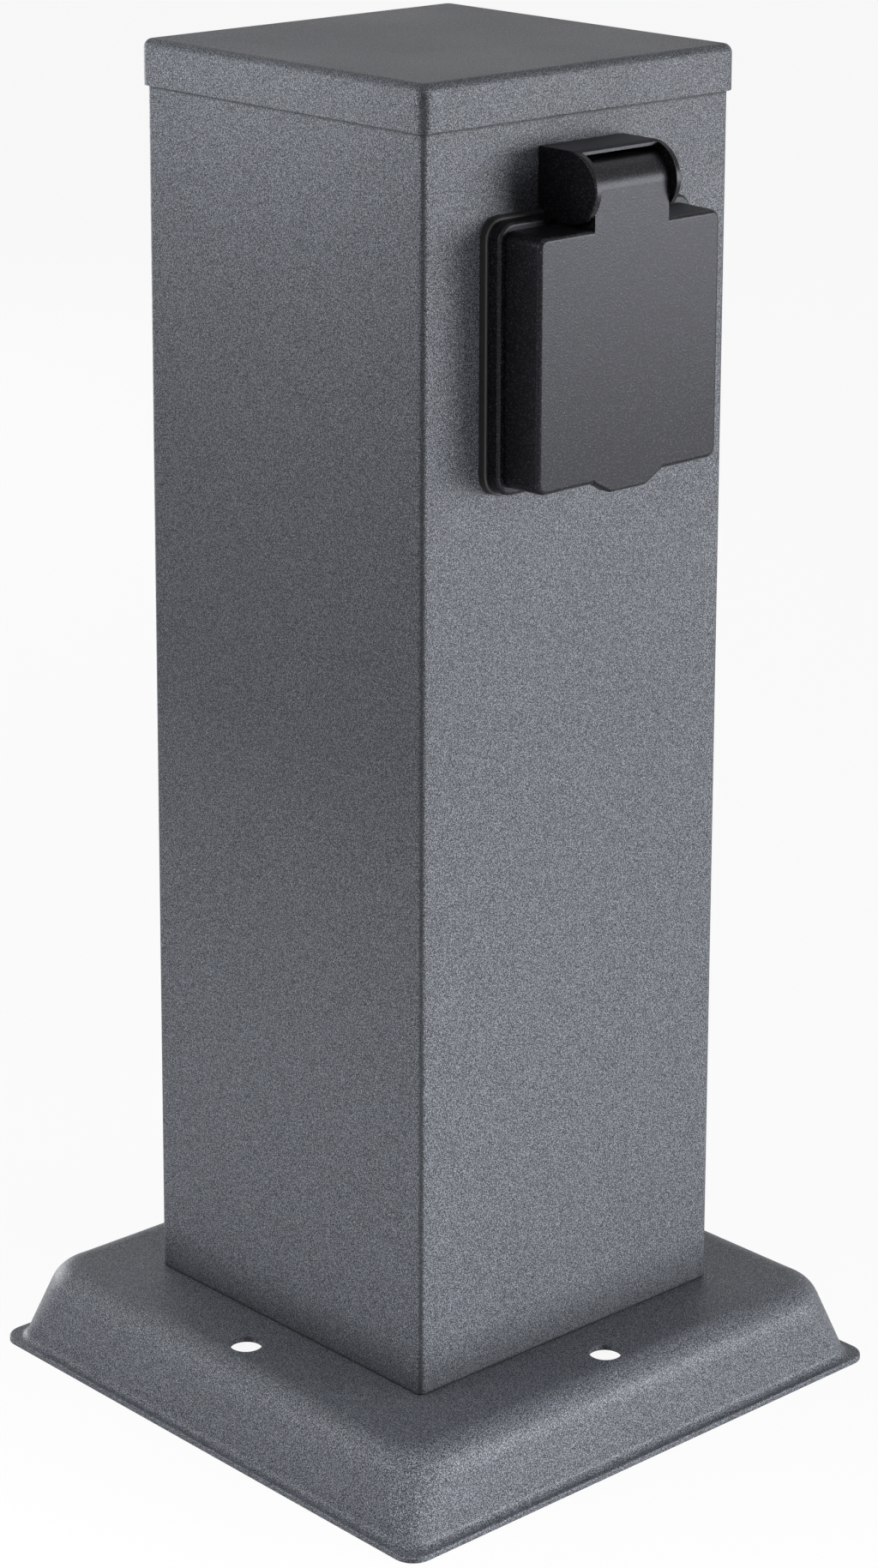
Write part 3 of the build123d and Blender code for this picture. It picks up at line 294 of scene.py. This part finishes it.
def black_foam_rubber(socket):
    """Closed-cell rubber, die cut: a dry black skin with cells of a third of a millimetre."""
    # The open cells along the cut edge swallow the light
    material, tree, place = start_material("black_foam_rubber")
    rubber = socket.rubber_colour
    _, tone = mottle(tree, place, RUBBER_CLOUD, shade(rubber, 0.7), shade(rubber, 1.3))
    cells = add_node(
        tree, "ShaderNodeTexVoronoi", links={"Vector": place}, values={"Scale": 1 / RUBBER_CELL},
    ).outputs["Distance"]
    bump = add_node(
        tree, "ShaderNodeBump", links={"Height": cells},
        values={"Strength": 0.25, "Distance": RUBBER_CELL_DEPTH},
    )
    shader = add_node(
        tree, "ShaderNodeBsdfPrincipled",
        values={"Roughness": 0.5, "IOR": 1.52},
        links={"Base Color": tone, "Normal": bump.outputs["Normal"]},
    )
    end_material(tree, shader)
    return material


def moulded_rubber(name, colour, roughness):
    """Pressed rubber or silicone: an even, slightly waxy skin."""
    # A little dust in the pores lightens it in soft patches
    material, tree, place = start_material(name)
    _, tone = mottle(tree, place, DUST_PATCH, colour, shade(colour, 1.4), detail=4)
    shader = add_node(
        tree, "ShaderNodeBsdfPrincipled",
        values={"Roughness": roughness, "IOR": 1.45},
        links={"Base Color": tone},
    )
    end_material(tree, shader)
    return material


def zinc_plated_steel(fixings):
    """Blue-passivated zinc over cold-headed steel."""
    # Bright but slightly cloudy, with a faint blue cast
    material, tree, place = start_material("zinc_plated_steel")
    zinc = fixings.zinc_colour
    cloud, tone = mottle(tree, place, ZINC_CLOUD, shade(zinc, 0.82), zinc, detail=3)
    gloss = add_node(
        tree, "ShaderNodeMapRange", links={"Value": cloud}, values={"To Min": 0.3, "To Max": 0.5},
    )
    shader = add_node(
        tree, "ShaderNodeBsdfPrincipled",
        values={"Metallic": 1.0},
        links={"Base Color": tone, "Roughness": gloss.outputs["Result"]},
    )
    end_material(tree, shader)
    return material


def galvanised_sheet(fixings):
    """Hot-dip galvanised sheet: crystals of zinc a few millimetres across."""
    # Each crystal has its own grey, with a sharp border to the next
    material, tree, place = start_material("galvanised_sheet")
    zinc = fixings.zinc_colour
    crystals = add_node(
        tree, "ShaderNodeTexVoronoi", links={"Vector": place}, values={"Scale": 1 / ZINC_CRYSTAL},
    ).outputs["Color"]
    grey = add_node(tree, "ShaderNodeSeparateColor", links={"Color": crystals}).outputs["Red"]
    spangle = add_node(
        tree, "ShaderNodeMix", data_type="RGBA",
        values={6: (*shade(zinc, 0.7), 1), 7: (*zinc, 1)}, links={0: grey},
    ).outputs[2]
    shader = add_node(
        tree, "ShaderNodeBsdfPrincipled",
        values={"Metallic": 1.0, "Roughness": 0.45},
        links={"Base Color": spangle},
    )
    end_material(tree, shader)
    return material


def drawn_stainless_wire(fixings):
    """Stainless spring wire and pin stock, drawn through a die."""
    # Drawn lines of a twentieth of a millimetre run along the hinge and streak the gloss
    material, tree, place = start_material("drawn_stainless_wire")
    along = add_node(
        tree, "ShaderNodeMapping", links={"Vector": place}, values={"Scale": (0.05, 1, 1)},
    ).outputs["Vector"]
    lines = add_node(
        tree, "ShaderNodeTexNoise", links={"Vector": along},
        values={"Scale": 1 / DRAWN_LINE, "Detail": 1},
    ).outputs["Fac"]
    gloss = add_node(
        tree, "ShaderNodeMapRange", links={"Value": lines}, values={"To Min": 0.2, "To Max": 0.38},
    )
    shader = add_node(
        tree, "ShaderNodeBsdfPrincipled",
        values={"Metallic": 1.0, "Base Color": (*fixings.stainless_colour, 1)},
        links={"Roughness": gloss.outputs["Result"]},
    )
    end_material(tree, shader)
    return material


def stamped_brass(contacts):
    """Spring brass, stamped and tumbled."""
    # Warm yellow, with brown tarnish starting in patches
    material, tree, place = start_material("stamped_brass")
    patches, tone = mottle(
        tree, place, TARNISH_PATCH, contacts.brass_colour, contacts.tarnish_colour, detail=4,
    )
    gloss = add_node(
        tree, "ShaderNodeMapRange", links={"Value": patches}, values={"To Min": 0.22, "To Max": 0.4},
    )
    shader = add_node(
        tree, "ShaderNodeBsdfPrincipled",
        values={"Metallic": 1.0},
        links={"Base Color": tone, "Roughness": gloss.outputs["Result"]},
    )
    end_material(tree, shader)
    return material


def tinned_copper(contacts):
    """Electro-tinned copper, crimped."""
    # A soft white metal with faint pits
    material, tree, place = start_material("tinned_copper")
    tin = contacts.tin_colour
    pits, tone = mottle(tree, place, TIN_PIT, shade(tin, 0.85), tin)
    bump = add_node(
        tree, "ShaderNodeBump", links={"Height": pits},
        values={"Strength": 0.2, "Distance": TIN_PIT_DEPTH},
    )
    shader = add_node(
        tree, "ShaderNodeBsdfPrincipled",
        values={"Metallic": 1.0, "Roughness": 0.36},
        links={"Base Color": tone, "Normal": bump.outputs["Normal"]},
    )
    end_material(tree, shader)
    return material


def natural_polyamide(wiring):
    """Unfilled polyamide, injection moulded: milky and half translucent."""
    # Light sinks in a little way, so the edges look softer than the faces
    material, tree, place = start_material("natural_polyamide")
    block = wiring.block_colour
    _, tone = mottle(tree, place, MILKY_CLOUD, shade(block, 0.93), block)
    shader = add_node(
        tree, "ShaderNodeBsdfPrincipled",
        values={
            "Roughness": 0.42, "IOR": 1.53, "Subsurface Weight": 0.15, "Subsurface Scale": MILKY_DEPTH,
        },
        links={"Base Color": tone},
    )
    end_material(tree, shader)
    return material


def extruded_pvc(name, colour, stripe=None):
    """Extruded PVC insulation, in one colour or with the second stripe of an earth core."""
    # Smooth and a little waxy, with a faint haze from the extruder
    material, tree, place = start_material(name)
    _, tone = mottle(tree, place, PVC_HAZE, shade(colour, 0.9), shade(colour, 1.08))
    if stripe:
        waves = add_node(
            tree, "ShaderNodeTexWave", bands_direction="DIAGONAL", links={"Vector": place},
            values={"Scale": 1 / EARTH_STRIPE},
        ).outputs["Fac"]
        bands = add_node(
            tree, "ShaderNodeMapRange", links={"Value": waves}, values={"From Min": 0.48, "From Max": 0.52},
        ).outputs["Result"]
        tone = add_node(
            tree, "ShaderNodeMix", data_type="RGBA", values={7: (*stripe, 1)}, links={0: bands, 6: tone},
        ).outputs[2]
    shader = add_node(
        tree, "ShaderNodeBsdfPrincipled",
        values={"Roughness": 0.36, "IOR": 1.54},
        links={"Base Color": tone},
    )
    end_material(tree, shader)
    return material


def finish(material, *nodes):
    """Gives every material slot of these parts the material."""
    for node in nodes:
        for material_slot in frame["nodes"][node].material_slots:
            material_slot.material = material


class PostFinish(bpy.types.PropertyGroup):
    """The coat of the sheet-steel foot, column and cap."""

    coat_colour: FloatVectorProperty(
        name="Coat colour", description="Anthracite of the powder coat",
        subtype="COLOR", default=linear("#55585e"),
    )
    flake_size: FloatProperty(
        name="Flake size", description="Size of the bright and dark specks, drawn coarse enough to show",
        default=0.28 * MM, subtype="DISTANCE",
    )
    pebble_size: FloatProperty(
        name="Pebble size", description="Size of the pebbles in the coat's skin",
        default=0.45 * MM, subtype="DISTANCE",
    )
    pebble_depth: FloatProperty(
        name="Pebble depth", description="Height of the pebbles", default=0.1 * MM, subtype="DISTANCE",
    )
    # Painted shade: width of the dark line along a joint
    joint_shade_width: FloatProperty(
        name="Seam width", description="Reach of the dark line above and below a joint",
        default=1.1 * MM, subtype="DISTANCE",
    )
    # Painted shade: height of the dark band up from the foot
    ground_painted_shade: FloatProperty(
        name="Ground shade", description="Height of the soft dark band over the foot",
        default=14 * MM, subtype="DISTANCE",
    )
    drift_size: FloatProperty(
        name="Drift size", description="Size of the slow changes of sheen", default=40 * MM,
        subtype="DISTANCE",
    )


class SocketFinish(bpy.types.PropertyGroup):
    """The moulded socket unit with its gasket and seals."""

    nylon_colour: FloatVectorProperty(
        name="Nylon colour", description="Black of the flange, lid and insert",
        subtype="COLOR", default=linear("#0d0d0f"),
    )
    grain_size: FloatProperty(
        name="Grain size", description="Size of the tool's eroded grain, drawn coarse enough to show",
        default=0.45 * MM, subtype="DISTANCE",
    )
    grain_depth: FloatProperty(
        name="Grain depth", description="Depth of the grain", default=0.05 * MM, subtype="DISTANCE",
    )
    rubber_colour: FloatVectorProperty(
        name="Rubber colour", description="Black of the gasket and the cable grommet",
        subtype="COLOR", default=linear("#1b1b1c"),
    )
    silicone_colour: FloatVectorProperty(
        name="Silicone colour", description="Grey of the lid's seal",
        subtype="COLOR", default=linear("#8b8c8e"),
    )


class FixingsFinish(bpy.types.PropertyGroup):
    """Screws, nuts, bracket, pin and spring."""

    zinc_colour: FloatVectorProperty(
        name="Zinc colour", description="Plating of the screws and nuts",
        subtype="COLOR", default=linear("#aeb2b8"),
    )
    stainless_colour: FloatVectorProperty(
        name="Stainless colour", description="Hinge pin and spring",
        subtype="COLOR", default=linear("#c6c5c1"),
    )


class ContactFinish(bpy.types.PropertyGroup):
    """The conducting parts."""

    brass_colour: FloatVectorProperty(
        name="Brass colour", description="Clean spring brass", subtype="COLOR", default=linear("#d9b566"),
    )
    tarnish_colour: FloatVectorProperty(
        name="Tarnish colour", description="Brass that has begun to brown",
        subtype="COLOR", default=linear("#a67c3c"),
    )
    tin_colour: FloatVectorProperty(
        name="Tin colour", description="Plating of the ring lug", subtype="COLOR",
        default=linear("#d8d6d0"),
    )


class WiringFinish(bpy.types.PropertyGroup):
    """The terminal block and the insulated cores."""

    block_colour: FloatVectorProperty(
        name="Block colour", description="Natural polyamide", subtype="COLOR", default=linear("#e4e2d8"),
    )
    live_colour: FloatVectorProperty(
        name="Live colour", description="Brown core", subtype="COLOR", default=linear("#5c3420"),
    )
    neutral_colour: FloatVectorProperty(
        name="Neutral colour", description="Blue core", subtype="COLOR", default=linear("#1f5fa8"),
    )
    earth_green: FloatVectorProperty(
        name="Earth green", description="First colour of the earth cores",
        subtype="COLOR", default=linear("#3d8b2f"),
    )
    earth_yellow: FloatVectorProperty(
        name="Earth yellow", description="Second colour of the earth cores",
        subtype="COLOR", default=linear("#e3c51f"),
    )


class SpringSizes(bpy.types.PropertyGroup):
    """The torsion spring round the hinge pin."""

    wire: FloatProperty(name="Wire", description="Wire diameter", default=0.8 * MM, subtype="DISTANCE")
    mean_radius: FloatProperty(
        name="Mean radius", description="Radius to the middle of the wire", default=2.5 * MM,
        subtype="DISTANCE",
    )
    pitch: FloatProperty(name="Pitch", description="Rise a turn", default=1.25 * MM, subtype="DISTANCE")
    moving_leg: FloatProperty(
        name="Moving leg", description="Length of the leg inside the tongue", default=3.2 * MM,
        subtype="DISTANCE",
    )
    fixed_leg: FloatProperty(
        name="Fixed leg", description="Length of the leg that runs to the hood's back wall",
        default=8.9 * MM, subtype="DISTANCE",
    )


class StudioSizes(bpy.types.PropertyGroup):
    """The camera, fitted to the photograph, with the floor and the lamps."""

    camera_azimuth: FloatProperty(
        name="Camera azimuth", description="Angle round the post", default=radians(-42.527),
        subtype="ANGLE",
    )
    camera_elevation: FloatProperty(
        name="Camera elevation", description="Angle above the horizon", default=radians(13.026),
        subtype="ANGLE",
    )
    camera_roll: FloatProperty(
        name="Camera roll", description="Turn about the line of sight", default=radians(0.167),
        subtype="ANGLE",
    )
    camera_distance: FloatProperty(
        name="Camera distance", description="From the point that it looks at", default=1087.0 * MM,
        subtype="DISTANCE",
    )
    aim_height: FloatProperty(
        name="Aim height", description="Height of the point that it looks at", default=280.5 * MM,
        subtype="DISTANCE",
    )
    floor_size: FloatProperty(
        name="Floor size", description="Side of the square floor", default=12.0, subtype="DISTANCE",
    )
    floor_colour: FloatVectorProperty(
        name="Floor colour", description="White studio floor", subtype="COLOR",
        default=linear("#f2f2f2"),
    )


class POST_OT_coat_steelwork(bpy.types.Operator):
    """Powder coat on the foot, the column and the cap"""

    bl_idname = "post.coat_steelwork"
    bl_label = "Coat Steelwork"

    def execute(self, context):
        post = context.scene.post_finish
        finish(anthracite_powder_coat(post, "anthracite_powder_coat"), "base_plate", "cap")
        foot_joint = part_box("column")[0][2]
        # The column gets painted shade: a dark line under the cap's skirt and at the foot, and a soft dark
        # band up from the foot
        painted_joint_shades = (
            (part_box("cap")[0][2], post.joint_shade_width, SEAM_PAINTED_SHADE),
            (foot_joint, post.joint_shade_width, SEAM_PAINTED_SHADE),
            (foot_joint, post.ground_painted_shade, GROUND_PAINTED_SHADE),
        )
        finish(anthracite_powder_coat(post, "anthracite_coat_with_painted_joint_shade", painted_joint_shades), "column")
        return {"FINISHED"}


class POST_OT_finish_socket(bpy.types.Operator):
    """Nylon, rubber and silicone on the socket unit and the grommet"""

    bl_idname = "post.finish_socket"
    bl_label = "Finish Socket"

    def execute(self, context):
        socket = context.scene.socket_finish
        finish(black_moulded_nylon(socket), "socket_flange", "lid")
        finish(smooth_moulded_nylon(socket), "socket_insert", "contact_cover")
        finish(black_foam_rubber(socket), "socket_gasket")
        finish(moulded_rubber("black_moulded_rubber", socket.rubber_colour, 0.55), "cable_grommet")
        finish(moulded_rubber("grey_silicone", socket.silicone_colour, 0.4), "lid_seal")
        return {"FINISHED"}


class POST_OT_finish_fixings(bpy.types.Operator):
    """Zinc plating on the screws, nuts and stud, spangle on the bracket, drawn wire on the pin"""

    bl_idname = "post.finish_fixings"
    bl_label = "Finish Fixings"

    def execute(self, context):
        fixings = context.scene.fixings_finish
        finish(
            zinc_plated_steel(fixings),
            "column_screws", "column_nuts", "flange_screws", "flange_nuts", "insert_screws",
            "clamp_screws", "cover_screws", "block_screws", "block_mount_screws", "earth_stud",
            "earth_nut",
        )
        finish(galvanised_sheet(fixings), "block_bracket")
        finish(drawn_stainless_wire(fixings), "hinge_pin", "hinge_spring")
        return {"FINISHED"}


class POST_OT_finish_contacts(bpy.types.Operator):
    """Brass on the contacts, strap and tubes, tin on the ring lug"""

    bl_idname = "post.finish_contacts"
    bl_label = "Finish Contacts"

    def execute(self, context):
        contacts = context.scene.contact_finish
        finish(
            stamped_brass(contacts), "earth_strap", "live_contact", "neutral_contact", "block_tubes",
        )
        finish(tinned_copper(contacts), "ring_lug")
        return {"FINISHED"}


class POST_OT_finish_wiring(bpy.types.Operator):
    """Polyamide on the terminal block and coloured insulation on the cores"""

    bl_idname = "post.finish_wiring"
    bl_label = "Finish Wiring"

    def execute(self, context):
        wiring = context.scene.wiring_finish
        finish(natural_polyamide(wiring), "terminal_block")
        finish(extruded_pvc("brown_pvc", wiring.live_colour), "live_lead")
        finish(extruded_pvc("blue_pvc", wiring.neutral_colour), "neutral_lead")
        earth = extruded_pvc("green_yellow_pvc", wiring.earth_green, wiring.earth_yellow)
        finish(earth, "earth_lead", "bond_lead")
        return {"FINISHED"}


class POST_OT_wind_hinge_spring(bpy.types.Operator):
    """The torsion spring, which winds up as the lid opens"""

    bl_idname = "post.wind_hinge_spring"
    bl_label = "Wind Hinge Spring"

    def execute(self, context):
        sizes = context.scene.spring_sizes
        half = SPRING_TURNS * sizes.pitch / 2
        bpy.ops.object.select_all(action="DESELECT")
        bpy.ops.mesh.primitive_circle_add(
            vertices=WIRE_SIDES, radius=sizes.wire / 2, location=(0, 0, 0), rotation=(pi / 2, 0, 0),
        )
        spring = context.object
        spring.name = "torsion_spring"
        bpy.ops.object.transform_apply(location=False, rotation=True, scale=False)
        bpy.ops.object.mode_set(mode="EDIT")
        bpy.ops.mesh.select_all(action="SELECT")
        bpy.ops.transform.translate(value=(half, 0, -sizes.mean_radius))
        bpy.ops.object.mode_set(mode="OBJECT")
        winding = spring.modifiers.new("winding", "SCREW")
        winding.axis = "X"
        winding.angle = -2 * pi
        winding.iterations = SPRING_TURNS
        winding.steps = STEPS_A_TURN
        winding.render_steps = STEPS_A_TURN
        winding.screw_offset = -sizes.pitch
        bpy.ops.object.modifier_apply(modifier=winding.name)
        # A leg is drawn out of each open end of the coil, and closed
        for side, reach in ((1, sizes.fixed_leg), (-1, -sizes.moving_leg)):
            bpy.ops.object.mode_set(mode="EDIT")
            bpy.ops.mesh.select_mode(type="EDGE")
            bpy.ops.mesh.select_all(action="DESELECT")
            bpy.ops.mesh.select_non_manifold()
            bpy.ops.object.mode_set(mode="OBJECT")
            mesh = spring.data
            for edge in mesh.edges:
                middle = sum(mesh.vertices[corner].co.x for corner in edge.vertices) / 2
                edge.select = edge.select and side * middle > 0
            for vertex in mesh.vertices:
                vertex.select = False
            bpy.ops.object.mode_set(mode="EDIT")
            bpy.ops.mesh.extrude_region_move(TRANSFORM_OT_translate={"value": (0, reach, 0)})
            bpy.ops.mesh.edge_face_add()
            bpy.ops.object.mode_set(mode="OBJECT")
        bpy.ops.object.mode_set(mode="EDIT")
        bpy.ops.mesh.select_all(action="SELECT")
        bpy.ops.mesh.normals_make_consistent(inside=False)
        bpy.ops.object.mode_set(mode="OBJECT")
        spring.location = HINGE
        bpy.ops.object.transform_apply(location=True, rotation=False, scale=False)
        bpy.ops.object.shade_smooth_by_angle(angle=SMOOTH_ANGLE)
        spring.data.materials.append(frame["nodes"]["hinge_pin"].material_slots[0].material)
        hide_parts("hinge_spring")
        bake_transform(spring)
        return {"FINISHED"}


def lamp(name, size, power, place, target):
    """A soft box at a place, turned to face the target and out of the camera's sight."""
    look = (Vector(target) - Vector(place)).to_track_quat("-Z", "Y").to_euler()
    bpy.ops.object.light_add(type="AREA", location=place, rotation=look)
    light = bpy.context.object
    light.name = name
    light.visible_camera = False
    light.data.shape = "RECTANGLE"
    light.data.size, light.data.size_y = size
    light.data.energy = power


def seen_by_the_eye(tree, white):
    """How far a studio surface is plain white: for the camera, and in gloss and glass."""
    path = add_node(tree, "ShaderNodeLightPath")
    direct = add_node(
        tree, "ShaderNodeMath", operation="MAXIMUM",
        links={0: path.outputs["Is Camera Ray"], 1: path.outputs["Is Transmission Ray"]},
    )
    seen = add_node(
        tree, "ShaderNodeMath", operation="MAXIMUM",
        links={0: direct.outputs[0], 1: path.outputs["Is Glossy Ray"]},
    )
    share = add_node(
        tree, "ShaderNodeMath", operation="MULTIPLY", values={1: white}, links={0: seen.outputs[0]},
    )
    return share.outputs[0]


class POST_OT_set_studio(bpy.types.Operator):
    """The camera of the photograph, a white floor and soft lamps"""

    bl_idname = "post.set_studio"
    bl_label = "Set Studio"

    def execute(self, context):
        scene = context.scene
        studio = scene.studio_sizes
        self.add_camera(scene, studio)
        self.add_floor(studio)
        self.add_world(scene)
        for soft_box in LAMPS:
            lamp(*soft_box)
        scene.view_settings.view_transform = "Standard"
        return {"FINISHED"}

    def add_camera(self, scene, studio):
        azimuth = studio.camera_azimuth
        elevation = studio.camera_elevation
        back = Vector((
            sin(azimuth) * cos(elevation), -cos(azimuth) * cos(elevation), sin(elevation),
        ))
        level = Vector((cos(azimuth), sin(azimuth), 0))
        upright = back.cross(level)
        right = cos(studio.camera_roll) * level + sin(studio.camera_roll) * upright
        up = back.cross(right)
        place = Vector((0, 0, studio.aim_height)) + studio.camera_distance * back
        turn = Matrix((right, up, back)).transposed().to_euler()
        bpy.ops.object.camera_add(location=place, rotation=turn)
        camera = bpy.context.object
        camera.name = "photo_camera"
        camera.data.sensor_width = SENSOR_LONG_SIDE
        camera.data.lens = FOCAL_PIXELS / IMAGE_HEIGHT * SENSOR_LONG_SIDE
        camera.data.shift_x = (IMAGE_WIDTH / 2 - CENTRE_X) / IMAGE_HEIGHT
        camera.data.shift_y = (CENTRE_Y - IMAGE_HEIGHT / 2) / IMAGE_HEIGHT
        scene.camera = camera

    def add_floor(self, studio):
        bpy.ops.object.select_all(action="DESELECT")
        bpy.ops.mesh.primitive_plane_add(size=studio.floor_size, location=(0, 0, 0))
        floor = bpy.context.object
        floor.name = "studio_floor"
        # Matt white paper: nearly all white to the eye, with the post's soft shadow on it
        material, tree, _ = start_material("white_studio_floor")
        lit = add_node(
            tree, "ShaderNodeBsdfPrincipled",
            values={"Base Color": (*studio.floor_colour, 1), "Roughness": 0.9, "Specular IOR Level": 0.1},
        )
        glow = add_node(tree, "ShaderNodeEmission", values={"Color": (1, 1, 1, 1), "Strength": 1})
        share = seen_by_the_eye(tree, FLOOR_WHITE)
        mixed = add_node(
            tree, "ShaderNodeMixShader",
            links={0: share, 1: lit.outputs[0], 2: glow.outputs[0]},
        )
        end_material(tree, mixed)
        floor.data.materials.append(material)

    def add_world(self, scene):
        world = bpy.data.worlds.new("white_studio")
        world.use_nodes = True
        tree = world.node_tree
        tree.nodes.clear()
        # The lit room is brightest at the horizon and dim overhead, as walls and a dark ceiling are
        looking = add_node(tree, "ShaderNodeTexCoord").outputs["Generated"]
        height = add_node(tree, "ShaderNodeSeparateXYZ", links={"Vector": looking}).outputs["Z"]
        room = add_node(
            tree, "ShaderNodeMapRange", links={"Value": height},
            values={"From Max": OVERHEAD_HEIGHT, "To Min": HORIZON_LIGHT, "To Max": OVERHEAD_LIGHT},
        ).outputs["Result"]
        lit = add_node(
            tree, "ShaderNodeBackground", values={"Color": (*linear("#ffffff"), 1)},
            links={"Strength": room},
        )
        white = add_node(
            tree, "ShaderNodeBackground", values={"Color": (*linear("#ffffff"), 1), "Strength": 1},
        )
        share = seen_by_the_eye(tree, 1.0)
        mixed = add_node(
            tree, "ShaderNodeMixShader",
            links={0: share, 1: lit.outputs[0], 2: white.outputs[0]},
        )
        add_node(tree, "ShaderNodeOutputWorld", links={"Surface": mixed.outputs[0]})
        scene.world = world


class POST_PT_panel(bpy.types.Panel):
    """Lists the steps that dress the post"""

    bl_idname = "POST_PT_panel"
    bl_label = "Socket Post"
    bl_space_type = "VIEW_3D"
    bl_region_type = "UI"
    bl_category = "Socket Post"

    def draw(self, context):
        for step in STEPS:
            self.layout.operator(step.bl_idname)


STEPS = (
    POST_OT_coat_steelwork,
    POST_OT_finish_socket,
    POST_OT_finish_fixings,
    POST_OT_finish_contacts,
    POST_OT_finish_wiring,
    POST_OT_wind_hinge_spring,
    POST_OT_set_studio,
)
GROUPS = {
    "post_finish": PostFinish,
    "socket_finish": SocketFinish,
    "fixings_finish": FixingsFinish,
    "contact_finish": ContactFinish,
    "wiring_finish": WiringFinish,
    "spring_sizes": SpringSizes,
    "studio_sizes": StudioSizes,
}


def register():
    for name, group in GROUPS.items():
        bpy.utils.register_class(group)
        setattr(bpy.types.Scene, name, PointerProperty(type=group))
    for step in (*STEPS, POST_PT_panel):
        bpy.utils.register_class(step)


def unregister():
    for step in reversed((*STEPS, POST_PT_panel)):
        bpy.utils.unregister_class(step)
    for name, group in reversed(GROUPS.items()):
        delattr(bpy.types.Scene, name)
        bpy.utils.unregister_class(group)


def main():
    register()
    bpy.ops.post.coat_steelwork()
    bpy.ops.post.finish_socket()
    bpy.ops.post.finish_fixings()
    bpy.ops.post.finish_contacts()
    bpy.ops.post.finish_wiring()
    bpy.ops.post.wind_hinge_spring()
    bpy.ops.post.set_studio()


if __name__ == "__main__":
    main()
